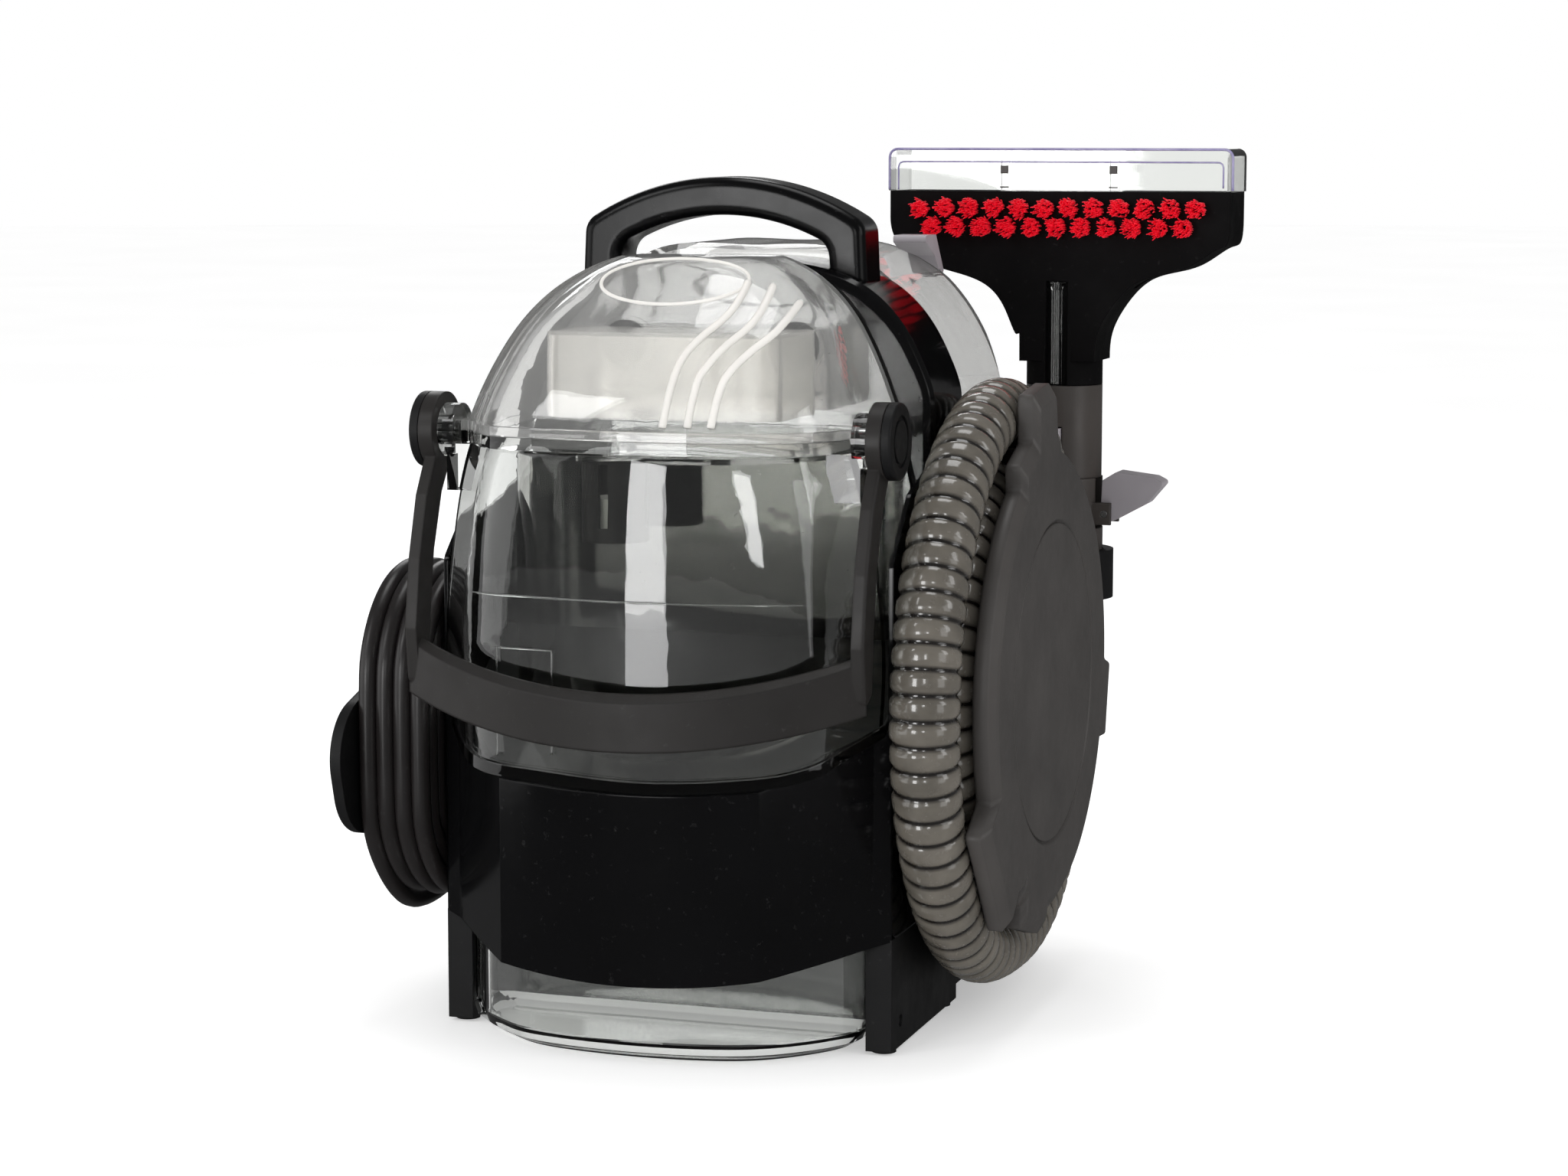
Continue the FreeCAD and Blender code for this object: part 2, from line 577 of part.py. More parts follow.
def sector(inner, outer, start, end, x0, x1):
    """Part of a flat ring about the hub axis, angles from +Y towards +Z.

    A cylinder's arc along +X starts at +Z, which is 90 degrees.
    """
    origin = vec(x0, HUB_Y, HUB_Z)
    across = vec(1, 0, 0)
    ring = Part.makeCylinder(outer, x1 - x0, origin, across, end - start)
    ring = ring.cut(Part.makeCylinder(inner, x1 - x0, origin, across, 360))
    ring.rotate(origin, across, start - 90.0)
    return ring


def hose_hub():
    rim = rod_x(HUB_R, RAIL_X, DISC_X0, HUB_Y, HUB_Z)
    hollow = rod_x(HUB_R - 3, RAIL_X + 3, DISC_X0 + 1, HUB_Y, HUB_Z)
    spokes = [block(RAIL_X + 3, DISC_X0, HUB_Y - 1.5, HUB_Y + 1.5, HUB_Z - HUB_R + 1, HUB_Z + HUB_R - 1),
              block(RAIL_X + 3, DISC_X0, HUB_Y - HUB_R + 1, HUB_Y + HUB_R - 1, HUB_Z - 1.5, HUB_Z + 1.5)]
    return join([rim.cut(hollow)] + spokes)


def disc_tab(start, end, reach):
    """A tab between two angles, from inside the rim out to reach."""
    corners = [polar(80, start), polar(reach, start), polar(reach, end), polar(80, end)]
    return prism_x([(p.y, p.z) for p in corners], DISC_X0, DISC_X1, 3.0)


def hose_wrap_disc():
    """Tabs hold the turns on the hub; a notch at the bottom lets the hose out."""
    tabs = [disc_tab(90, 104, 127), disc_tab(86, 118, 108), disc_tab(-22, -3, 109), disc_tab(203, 233, 118),
            disc_tab(243, 264, 107)]
    disc = join([rod_x(DISC_R, DISC_X0, DISC_X1, HUB_Y, HUB_Z)] + tabs)
    corners = [polar(86, 239), polar(125, 234.5), polar(125, 245)]
    disc = disc.cut(prism_x([(p.y, p.z) for p in corners], DISC_X0 - 1, DISC_X1 + 1))
    return disc.cut(rod_x(CAP_R + 0.6, DISC_X1 - 3.5, DISC_X1 + 1, HUB_Y, HUB_Z))


def hose_wrap_cap():
    cap = rod_x(CAP_R, DISC_X1 - 3.5, DISC_X1 - 0.3, HUB_Y, HUB_Z)
    return soften(cap, 0.8, lambda b: b.XMin > DISC_X1 - 0.4)


def hose_coil():
    x0, x1 = HOSE_X - HOSE_R, HOSE_X + HOSE_R
    gap = HOSE_OUTER_R - HOSE_R
    outer = sector(gap, HOSE_OUTER_R + HOSE_R, 55, 270, x0, x1)
    inner = sector(HUB_R + 1.5, gap, 105, 360 + 20, x0, x1)
    crossing = sector(HUB_R + 1.5, 108, 20, 55, x0, x1)
    notch_fill = sector(gap - 0.01, 108, 55, 60, x0, x1)
    return join([outer, inner, crossing, notch_fill])


def hose_tail():
    lift = [(18, 25), (50, 25.4), (84, 37), (113, 62), (133.5, 97)]
    points = [vec(HOSE_X, y, z) for y, z in lift[:3]]
    points += [vec(HOSE_X - 1, *lift[3]), vec(HOSE_X - 2.5, *lift[4]), vec(GRIP_X, GRIP_Y, GRIP_BOTTOM_Z)]
    return bent_tube(points, HOSE_R)


def hose_port():
    """An elbow: the hose meets it along the turn, and it enters the body sideways."""
    start = polar(HOSE_INNER_R + 1, 104)
    heading = vec(0, math.sin(math.radians(104)), -math.cos(math.radians(104)))
    centre = vec(HOSE_X, PORT_Y, PORT_Z)
    reach = (centre - start).Length
    arm = Part.makeCylinder(13.0, reach, start, heading)
    through = rod_x(13.0, HOUSING_X - WALL, HOSE_X, PORT_Y, PORT_Z)
    bore = Part.makeCylinder(10.5, reach + 1, start - heading, heading)
    bore_x = rod_x(10.5, HOUSING_X - WALL - 1, HOSE_X, PORT_Y, PORT_Z)
    skin = join([arm, through, Part.makeSphere(13.0, centre)])
    return skin.cut(join([bore, bore_x, Part.makeSphere(10.5, centre)]))


def hose_cuff():
    cuff = ring_z(17.2, 14.3, GRIP_BOTTOM_Z - 8, 150, GRIP_X, GRIP_Y)
    return cuff.cut(block(60, HOSE_X + 30, 100, 180, GRIP_BOTTOM_Z - 9, GRIP_BOTTOM_Z))


def grip_half(rear):
    tube = ring_z(GRIP_R, 14.5, 150, 215, GRIP_X, GRIP_Y)
    tube = tube.cut(block(GRIP_X + 10, GRIP_X + 40, GRIP_Y - 7, GRIP_Y + 7, 192, 216))
    for y0 in (GRIP_Y - 9.5, GRIP_Y + 7):
        ear = block(GRIP_X + 15, TRIGGER_X + 3, y0, y0 + 2.5, 194, 204)
        tube = tube.fuse(ear.cut(rod_z(GRIP_R - 1, 190, 210, GRIP_X, GRIP_Y)))
    tube = tube.cut(rod_y(1.5, GRIP_Y - 12, GRIP_Y + 12, TRIGGER_X, TRIGGER_Z))
    y0, y1 = (GRIP_Y + 0.05, GRIP_Y + 40) if rear else (GRIP_Y - 40, GRIP_Y - 0.05)
    return tube.common(block(GRIP_X - 40, GRIP_X + 40, y0, y1, 100, 300)).removeSplitter()


def grip_front():
    return grip_half(False)


def grip_rear():
    return grip_half(True)


def grip_sleeve():
    sleeve = ring_z(17.2, 14.0, 215, SLEEVE_TOP_Z, GRIP_X, GRIP_Y)
    return sleeve.cut(block(GRIP_X - 7, GRIP_X + 3, GRIP_Y - 22, GRIP_Y - 8, 225.5, 238.5))


def release_button():
    key = block(GRIP_X - 6.6, GRIP_X + 2.6, GRIP_Y - 20.5, GRIP_Y - 15.0, 226, 238)
    return soften(key, 1.2, lambda b: b.YMin < GRIP_Y - 20.4 and b.YLength < 0.01)


def trigger_pin():
    return rod_y(1.5, GRIP_Y - 9.5, GRIP_Y + 9.5, TRIGGER_X, TRIGGER_Z)


def trigger():
    side = [(128.8, 195.5), (134.5, 195.5), (150, 204), (158, 213.5), (153, 216), (136, 218), (129.5, 214)]
    paddle = prism_y(side, GRIP_Y - 6.4, GRIP_Y + 6.4, 1.5)
    return paddle.cut(rod_y(1.5 + RUNNING_GAP, GRIP_Y - 12, GRIP_Y + 12, TRIGGER_X, TRIGGER_Z))


def tool_holder():
    ring = ring_z(23.0, GRIP_R + 0.4, 160, 182, GRIP_X, GRIP_Y)
    ring = ring.cut(block(GRIP_X - 9, GRIP_X + 9, GRIP_Y + 8, GRIP_Y + 40, 150, 190))
    arm = block(82, 93, REAR_Y, GRIP_Y, 160, 182)
    arm = arm.cut(rod_z(GRIP_R + 0.4, 150, 190, GRIP_X, GRIP_Y))
    return join([ring, arm])


# ---------------------------------------------------------------- upholstery tool
def head_outline():
    right = [(17.2, 268), (18.5, 280), (24, 291), (37, 304), (60, 311), (73, 319), (HEAD_HALF, 332),
             (HEAD_HALF, HEAD_TOP_Z)]
    right = [vec(GRIP_X + x, GRIP_Y - 16, z) for x, z in right]
    left = [vec(2 * GRIP_X - p.x, p.y, p.z) for p in reversed(right)]
    flare = spline(right[:-1], vec(0, 0, 1), vec(0, 0, 1))
    flare_left = spline(left[1:], vec(0, 0, -1), vec(0, 0, -1))
    return Part.Wire([flare, Part.LineSegment(right[-2], right[-1]).toShape(),
                      Part.LineSegment(right[-1], left[0]).toShape(),
                      Part.LineSegment(left[0], left[1]).toShape(), flare_left,
                      Part.LineSegment(left[-1], right[0]).toShape()])


def tool_head():
    y0 = GRIP_Y - 16
    body = Part.Face(head_outline()).extrude(vec(0, 32, 0))
    neck = rod_z(17.2, SLEEVE_TOP_Z + FREE_GAP, 285, GRIP_X, GRIP_Y)
    spigot = rod_z(13.6, 234, 262, GRIP_X, GRIP_Y)
    bore = rod_z(10.5, 230, 300, GRIP_X, GRIP_Y)
    mouth = block(GRIP_X - 70, GRIP_X + 70, GRIP_Y - 4, GRIP_Y + 4, 318, HEAD_TOP_Z + 1)
    funnel = prism_y([(GRIP_X - 10, 290), (GRIP_X + 10, 290), (GRIP_X + 70, 319), (GRIP_X - 70, 319)],
                     GRIP_Y - 4, GRIP_Y + 4)
    slot = block(GRIP_X - 5, GRIP_X + 5, y0 - 2, GRIP_Y - 11.9, 257, 304)
    return join([body, neck, spigot]).cut(join([bore, mouth, funnel])).cut(slot)


def nozzle_window():
    shell = block(GRIP_X - 79, GRIP_X + 79, GRIP_Y - 15, GRIP_Y + 15, HEAD_TOP_Z, NOZZLE_TOP_Z)
    shell = soften(shell, 4.0, lambda b: b.YLength > 29 and b.ZMin > HEAD_TOP_Z + 1)
    hole = block(GRIP_X - 76, GRIP_X + 76, GRIP_Y - 12.4, GRIP_Y + 12.4, HEAD_TOP_Z - 1, NOZZLE_TOP_Z + 1)
    posts = [block(GRIP_X + x - 2, GRIP_X + x + 2, GRIP_Y - 13, GRIP_Y - 9, HEAD_TOP_Z, HEAD_TOP_Z + 14)
             for x in (-25, 25)]
    return join([shell.cut(hole)] + posts)


def bristle_tufts():
    tufts = []
    for row, count in enumerate((12, 11)):
        for i in range(count):
            x = GRIP_X - (count - 1) * 5.75 + 11.5 * i
            tufts.append(rod_y(3.4, GRIP_Y - 24, GRIP_Y - 16, x, 336.5 - 8.5 * row))
    return Part.makeCompound(tufts)


def spray_tube():
    tube = rod_z(2.4, 258, 300, GRIP_X, GRIP_Y - 15.9)
    tip = Part.makeCone(2.4, 3.6, 3.5, vec(GRIP_X, GRIP_Y - 15.9, 300), vec(0, 0, 1))
    return join([tube, tip]).cut(rod_z(1.1, 257, 305, GRIP_X, GRIP_Y - 15.9))


# ---------------------------------------------------------------- cord side
def oval_x(radius, x0, x1):
    """The spool's outline: two round ends with straight sides between them."""
    ends = [rod_x(radius, x0, x1, SPOOL_Y, SPOOL_Z + z) for z in (-SPOOL_STRAIGHT, SPOOL_STRAIGHT)]
    middle = block(min(x0, x1), max(x0, x1), SPOOL_Y - radius, SPOOL_Y + radius,
                   SPOOL_Z - SPOOL_STRAIGHT, SPOOL_Z + SPOOL_STRAIGHT)
    return join(ends + [middle])


def cord_spool():
    rim = oval_x(SPOOL_R, COIL_X1, -RAIL_X)
    hollow = oval_x(SPOOL_R - 3, COIL_X1 + 6, -RAIL_X - 3)
    return rim.cut(hollow).cut(rod_x(5 + RUNNING_GAP, COIL_X1 - 1, COIL_X1 + 7, SPOOL_Y, SPOOL_Z))


def cord_wrap_plate():
    half_long, half_wide, round_r = 65.0, 29.0, 24.0
    bar = [(SPOOL_Y - half_long, SPOOL_Z - half_wide), (SPOOL_Y + half_long, SPOOL_Z - half_wide),
           (SPOOL_Y + half_long, SPOOL_Z + half_wide), (SPOOL_Y - half_long, SPOOL_Z + half_wide)]
    plate = prism_x(bar, PLATE_X1, COIL_X1 - FREE_GAP, round_r)
    plate = soften(plate, 2.5, lambda b: b.XMax < PLATE_X1 + 0.01)
    stub = rod_x(5.0, COIL_X1 - FREE_GAP, COIL_X1 + 5, SPOOL_Y, SPOOL_Z)
    plate = join([plate, stub])
    plate.rotate(vec(0, SPOOL_Y, SPOOL_Z), vec(1, 0, 0), PLATE_TILT)
    return plate


LEAD_Y = SPOOL_Y + COIL_R - CORD_R
LEAD_X = -103.5
EXIT_Z = 58.0            # inside the gland, where the cord comes out of the body
RELIEF_Z = 68.0
RELIEF_LONG = 28.0


def cord_gland():
    base = block(LEAD_X - 7, -RAIL_X, LEAD_Y - 8, LEAD_Y + 8, RELIEF_Z - 16, RELIEF_Z)
    base = soften(base, 3.0, lambda b: b.XMax < -RAIL_X - 7)
    return base.cut(rod_z(CORD_R + 0.01, EXIT_Z, RELIEF_Z + 6, LEAD_X, LEAD_Y))


def cord_strain_relief():
    cone = Part.makeCone(6.4, 5.0, RELIEF_LONG, vec(LEAD_X, LEAD_Y, RELIEF_Z), vec(0, 0, 1))
    rings = [ring_z(8, 5.4, RELIEF_Z + z, RELIEF_Z + z + 2, LEAD_X, LEAD_Y) for z in (7, 12, 17, 22)]
    bore = rod_z(CORD_R, EXIT_Z, RELIEF_Z + RELIEF_LONG + 1, LEAD_X, LEAD_Y)
    return cone.cut(bore).cut(Part.makeCompound(rings))


def cord_lead():
    return rod_z(CORD_R, EXIT_Z, SPOOL_Z, LEAD_X, LEAD_Y)


def cord_coil():
    ring = oval_x(COIL_R, COIL_X1 + FREE_GAP, COIL_X0)
    ring = ring.cut(oval_x(SPOOL_R + FREE_GAP, COIL_X1 - 1, COIL_X0 + 1))
    around = block(LEAD_X - 7.5, COIL_X0 + 1, LEAD_Y - 8.5, 40, 0, RELIEF_Z + RELIEF_LONG + 2)
    half = CORD_R + FREE_GAP
    lead = block(LEAD_X - half, COIL_X0 + 1, LEAD_Y - half, 40, 0, SPOOL_Z + FREE_GAP)
    return ring.cut(around).cut(lead)


TAIL_X = -124.0
TAIL_Z = SPOOL_Z - SPOOL_STRAIGHT - COIL_R - CORD_R


def cord_tail():
    route = [(SPOOL_Y, 0), (-22, 2), (2, 11), (22, 26), (36, 45)]
    return bent_tube([vec(TAIL_X, y, TAIL_Z + z) for y, z in route], CORD_R)


def plug_axis():
    return vec(TAIL_X, 36, TAIL_Z + 45), vec(0, 14, 19).normalize()


def plug():
    start, heading = plug_axis()
    tail = Part.makeCone(5.0, 8.0, 12, start, heading)
    body = Part.makeCylinder(10.0, 24, start + heading * 12, heading)
    trim = block(TAIL_X - 7.0, TAIL_X + 7.0, -60, 160, 40, 260)
    return join([tail, body]).common(trim)


def plug_pins():
    start, heading = plug_axis()
    tip = start + heading * 36
    across = vec(1, 0, 0)
    up = heading.cross(across)
    pins = []
    for side in (-1, 1):
        pin = Part.makeBox(1.5, 6.3, 16)
        pin.translate(vec(-0.75 + 5.0 * side, -3.15, 0))
        frame = FreeCAD.Matrix(across.x, up.x * -1, heading.x, tip.x, across.y, up.y * -1, heading.y, tip.y,
                               across.z, up.z * -1, heading.z, tip.z, 0, 0, 0, 1)
        pins.append(pin.transformGeometry(frame))
    return Part.makeCompound(pins)


def plug_clip():
    start, heading = plug_axis()
    foot = start + heading * 24
    arm = block(TAIL_X + 7.0, -RAIL_X, foot.y - 7, foot.y + 7, foot.z - 7, foot.z + 7)
    return soften(arm, 2.0, lambda b: b.XLength > 10)


# ---------------------------------------------------------------- machinery inside
def vacuum_motor():
    can = ring_z(31.5, 29.0, 9, 92, MOTOR_X, MOTOR_Y)
    end = ring_z(30, SHAFT_R + RUNNING_GAP, 9, 12, MOTOR_X, MOTOR_Y)
    hub = ring_z(8, SHAFT_R + RUNNING_GAP, 11, 20, MOTOR_X, MOTOR_Y)
    return join([can, end, hub])


def motor_stator():
    return ring_z(28.9, 17.0, 38, 76, MOTOR_X, MOTOR_Y)


def motor_rotor():
    return join([rod_z(SHAFT_R, 10, 110, MOTOR_X, MOTOR_Y), rod_z(16.0, 40, 74, MOTOR_X, MOTOR_Y)])


def impeller():
    disc = ring_z(37, SHAFT_R, 101, 103, MOTOR_X, MOTOR_Y)
    blades = []
    for i in range(8):
        blade = block(MOTOR_X + 7, MOTOR_X + 36, MOTOR_Y - 0.8, MOTOR_Y + 0.8, 102, 109)
        blade.rotate(vec(MOTOR_X, MOTOR_Y, 0), vec(0, 0, 1), 45 * i)
        blades.append(blade)
    return join([disc, ring_z(8, SHAFT_R, 102, 109, MOTOR_X, MOTOR_Y)] + blades)


def fan_housing():
    wall = ring_z(43, 40.5, 92, 114, MOTOR_X, MOTOR_Y)
    floor = ring_z(42, SHAFT_R + RUNNING_GAP, 92, 95, MOTOR_X, MOTOR_Y)
    roof = ring_z(42, 12, 112, 114, MOTOR_X, MOTOR_Y)
    outlet = block(MOTOR_X - 60, MOTOR_X - 30, MOTOR_Y - 8, MOTOR_Y + 8, 97, 110)
    return join([wall, floor, roof]).cut(outlet)


def pipe_run(points, radius, bore):
    """A moulded duct: straight legs with ball corners."""
    skin = []
    hollow = []
    for start, end in zip(points, points[1:]):
        run = end - start
        skin.append(Part.makeCylinder(radius, run.Length, start, run))
        hollow.append(Part.makeCylinder(bore, run.Length, start, run))
    for corner in points[1:-1]:
        skin.append(Part.makeSphere(radius, corner))
        hollow.append(Part.makeSphere(bore, corner))
    return join(skin).cut(join(hollow))


def suction_duct():
    return pipe_run([vec(38, TOWER_FRONT_Y - 2.2, DUCT_Z), vec(38, DUCT_Y, DUCT_Z),
                     vec(38, DUCT_Y, PORT_Z), vec(90.8, DUCT_Y, PORT_Z)], 12.5, 10.5)


def vacuum_duct():
    return pipe_run([vec(-38, TOWER_FRONT_Y - 2.2, DUCT_Z), vec(-38, 3, DUCT_Z), vec(-38, 3, 145),
                     vec(MOTOR_X, MOTOR_Y, 130), vec(MOTOR_X, MOTOR_Y, 114)], 12.5, 10.5)


def water_pump():
    body = block(40, 78, 55, 105, 9, 34)
    body = soften(body, 3, lambda b: b.ZLength > 20)
    return join([body, rod_y(11, 38, 55, 59, 22), rod_z(4, 34, 44, 52, 80), rod_z(4, 34, 44, 66, 80)])


def water_heater():
    block_part = soften(block(-30, 25, 50, 100, 9, 40), 5, lambda b: b.ZLength > 20)
    return join([block_part, rod_z(4, 40, 48, -15, 75), rod_z(4, 40, 48, 10, 60)])


def power_switch():
    """A rocker on two trunnions in the rear wall."""
    side = [(124.8, SWITCH_Z - 6.5), (131.5, SWITCH_Z - 6.2), (129.4, SWITCH_Z), (129.0, SWITCH_Z + 6.5),
            (124.8, SWITCH_Z + 6.5)]
    return prism_x(side, -13.5, 13.5).fuse(rod_x(1.5, -15.6, 15.6, SWITCH_Y, SWITCH_Z)).removeSplitter()


NODES = [
    chassis_base, rubber_feet, screws, clear_base_shell, lower_housing, front_cover, tank_deck,
    side_panel_hose, side_panel_cord, tower_housing, carry_handle,
    recovery_tank, tank_separator, float_cage, float_ball, pivot_caps, bail_handle, dome_lid, baffle_box,
    clean_tank, clean_tank_valve, tank_latch,
    hose_hub, hose_wrap_disc, hose_wrap_cap, hose_coil, hose_tail, hose_port, hose_cuff,
    grip_front, grip_rear, grip_sleeve, release_button, trigger_pin, trigger, tool_holder,
    tool_head, nozzle_window, bristle_tufts, spray_tube,
    cord_spool, cord_wrap_plate, cord_gland, cord_strain_relief, cord_lead, cord_coil, cord_tail,
    plug, plug_pins, plug_clip,
    vacuum_motor, motor_stator, motor_rotor, impeller, fan_housing, suction_duct, vacuum_duct,
    water_pump, water_heater, power_switch,
]


def main():
    os.makedirs("parts", exist_ok=True)
    for make in NODES:
        save(make.__name__, make())


main()
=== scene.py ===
import math
import random
import bmesh
import bpy
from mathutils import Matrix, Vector
from mathutils.bvhtree import BVHTree


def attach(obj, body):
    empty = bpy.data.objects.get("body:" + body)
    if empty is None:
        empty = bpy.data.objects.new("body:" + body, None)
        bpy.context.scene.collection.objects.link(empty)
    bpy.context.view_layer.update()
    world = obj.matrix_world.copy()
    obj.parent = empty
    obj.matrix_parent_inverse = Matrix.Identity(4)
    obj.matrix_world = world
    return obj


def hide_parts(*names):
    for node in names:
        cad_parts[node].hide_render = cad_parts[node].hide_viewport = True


# Looks of a portable spot extractor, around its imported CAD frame. Metres, +Z up, -Y is the front.
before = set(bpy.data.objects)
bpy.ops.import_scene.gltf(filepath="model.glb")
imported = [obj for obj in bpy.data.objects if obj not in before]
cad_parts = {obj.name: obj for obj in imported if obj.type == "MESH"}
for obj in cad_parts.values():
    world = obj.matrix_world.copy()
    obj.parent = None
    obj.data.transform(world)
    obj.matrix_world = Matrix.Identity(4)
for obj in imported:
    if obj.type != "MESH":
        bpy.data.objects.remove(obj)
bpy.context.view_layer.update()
random.seed(7)

# ---------------------------------------------------------------- driving dimensions
CAMERA_AT = (0.49723, -1.44567, 0.37439)
CAMERA_DOWN = 7.367      # degrees below level
CAMERA_TURN = 18.145     # degrees round from straight ahead
CAMERA_LENS = 82.6       # mm
SENSOR_WIDTH = 36        # mm

HUB = (0.018, 0.140)     # y, z of the hose hub
HOSE_X = 0.1135          # mid-plane of the wound hose
HOSE_D = 0.0285
HOSE_INNER_R = 0.086     # middle of the hose in its first turn, on the hub
HOSE_OUTER_R = 0.115     # and in its second, round the first
RIB_PITCH = 0.0095
GROOVE_WIDTH = 0.16      # share of the pitch
GROOVE_DEPTH = 0.12      # share of the hose's radius
GRIP_X, GRIP_Y = 0.110, 0.145

SPOOL = (-0.050, 0.119)  # y, z of the cord spool
SPOOL_STRAIGHT = 0.021   # from its middle to where its round ends start
CORD_D = 0.008
CORD_EXIT = (-0.1035, -0.003, 0.058)
COIL_LANES = (-0.1032, -0.1110, -0.1188, -0.1266)
COIL_RADII = (0.031, 0.039, 0.047)
COIL_STEP = 15           # degrees from one point of the coil to the next
TAIL_X, TAIL_Z = -0.124, 0.043

DISC_FACE_X = 0.138
DISC_BACK_X = 0.1283
DISC_R = 0.098
CAP_R = 0.0675

SEEN_LEVEL = 1.0         # brightness of the room as the camera sees it,
SOFT_LEVEL = 0.72        # as soft light on the surfaces,
MIRRORED_LEVEL = 0.10    # as gloss mirrors it,
INSIDE_LEVEL = 0.4       # and as it bounces about inside clear walls


# ---------------------------------------------------------------- camera
def make_camera():
    data = bpy.data.cameras.new("camera")
    data.lens = CAMERA_LENS
    data.sensor_width = SENSOR_WIDTH
    camera = bpy.data.objects.new("camera", data)
    camera.location = CAMERA_AT
    camera.rotation_euler = (math.radians(90 - CAMERA_DOWN), 0, math.radians(CAMERA_TURN))
    bpy.context.scene.collection.objects.link(camera)
    bpy.context.scene.camera = camera


make_camera()


# ---------------------------------------------------------------- material helpers
def linear(r, g, b):
    """Display colour, 0 to 255, as the linear colour that a shader takes."""
    out = []
    for value in (r, g, b):
        c = value / 255
        out.append(c / 12.92 if c <= 0.04045 else ((c + 0.055) / 1.055) ** 2.4)
    return out


def scaled(colour, share=1.0):
    """A linear colour, lighter or darker, with the fourth value that a colour socket takes."""
    return (*[min(1.0, c * share) for c in colour], 1.0)


def new_material(name):
    material = bpy.data.materials.new(name)
    material.use_nodes = True
    tree = material.node_tree
    shader = tree.nodes["Principled BSDF"]
    return material, tree, shader


def coordinates(tree):
    return tree.nodes.new("ShaderNodeTexCoord").outputs["Object"]


def noise(tree, size, detail=3.0, roughness=0.55, stretch=None):
    """Noise whose features are about this many metres across."""
    node = tree.nodes.new("ShaderNodeTexNoise")
    node.inputs["Scale"].default_value = 1.0 / size
    node.inputs["Detail"].default_value = detail
    node.inputs["Roughness"].default_value = roughness
    source = coordinates(tree)
    if stretch:
        mapping = tree.nodes.new("ShaderNodeMapping")
        mapping.inputs["Scale"].default_value = stretch
        tree.links.new(source, mapping.inputs["Vector"])
        source = mapping.outputs["Vector"]
    tree.links.new(source, node.inputs["Vector"])
    return node.outputs["Fac"]


def spread(tree, value, low, high, start=0.3, end=0.7):
    """Maps a value from start..end to low..high."""
    node = tree.nodes.new("ShaderNodeMapRange")
    node.inputs["From Min"].default_value = start
    node.inputs["From Max"].default_value = end
    node.inputs["To Min"].default_value = low
    node.inputs["To Max"].default_value = high
    tree.links.new(value, node.inputs["Value"])
    return node.outputs["Result"]


MIX_FIRST, MIX_SECOND, MIX_RESULT = 6, 7, 2      # the colour sockets of a Mix node


def mix_colour(tree, factor, first, second):
    node = tree.nodes.new("ShaderNodeMix")
    node.data_type = "RGBA"
    tree.links.new(factor, node.inputs["Factor"])
    for socket, value in ((node.inputs[MIX_FIRST], first), (node.inputs[MIX_SECOND], second)):
        if isinstance(value, bpy.types.NodeSocket):
            tree.links.new(value, socket)
        else:
            socket.default_value = value
    return node.outputs[MIX_RESULT]


def bump(tree, height, distance, normal=None, strength=1.0):
    node = tree.nodes.new("ShaderNodeBump")
    node.inputs["Distance"].default_value = distance
    node.inputs["Strength"].default_value = strength
    tree.links.new(height, node.inputs["Height"])
    if normal:
        tree.links.new(normal, node.inputs["Normal"])
    return node.outputs["Normal"]


def soft_edges(tree, radius):
    node = tree.nodes.new("ShaderNodeBevel")
    node.samples = 4
    node.inputs["Radius"].default_value = radius
    return node.outputs["Normal"]


DRIFT_SIZE = 0.05        # metres across: patches of slightly different colour,
DUST_SIZE = 0.0035       # specks of dust,
GLOSS_SIZE = 0.018       # and patches of more or less gloss
DRIFT = 0.14             # how much lighter or darker the patches are


def plastic(name, colour, roughness, grain, grain_height, edge, specular):
    """Moulded plastic: slow colour drift, a moulded grain, uneven gloss and edges that catch the light."""
    material, tree, shader = new_material(name)
    drift = spread(tree, noise(tree, DRIFT_SIZE), 0, 1)
    shade = mix_colour(tree, drift, scaled(colour, 1 - DRIFT), scaled(colour, 1 + DRIFT))
    dust = spread(tree, noise(tree, DUST_SIZE, detail=5.0, roughness=0.7), 0, 1, start=0.62, end=0.8)
    pale = [c * 0.92 + 0.02 for c in colour]
    tree.links.new(mix_colour(tree, dust, shade, scaled(pale)), shader.inputs["Base Color"])
    gloss = spread(tree, noise(tree, GLOSS_SIZE, detail=4.0), roughness * 0.82, roughness * 1.2)
    tree.links.new(gloss, shader.inputs["Roughness"])
    normal = bump(tree, noise(tree, grain, detail=2.0), grain_height, soft_edges(tree, edge), strength=0.6)
    tree.links.new(normal, shader.inputs["Normal"])
    shader.inputs["Specular IOR Level"].default_value = specular
    return material


def metal(name, colour, roughness, brushed):
    """Metal with fine lines in it, which brushed squeezes along x, y and z."""
    material, tree, shader = new_material(name)
    drift = spread(tree, noise(tree, 0.01), 0, 1)
    shade = mix_colour(tree, drift, scaled(colour, 0.85), scaled(colour, 1.1))
    tree.links.new(shade, shader.inputs["Base Color"])
    lines = noise(tree, 0.0012, detail=4.0, stretch=brushed)
    tree.links.new(spread(tree, lines, roughness * 0.7, roughness * 1.4), shader.inputs["Roughness"])
    tree.links.new(bump(tree, lines, 0.00002, soft_edges(tree, 0.0003)), shader.inputs["Normal"])
    shader.inputs["Metallic"].default_value = 1.0
    return material


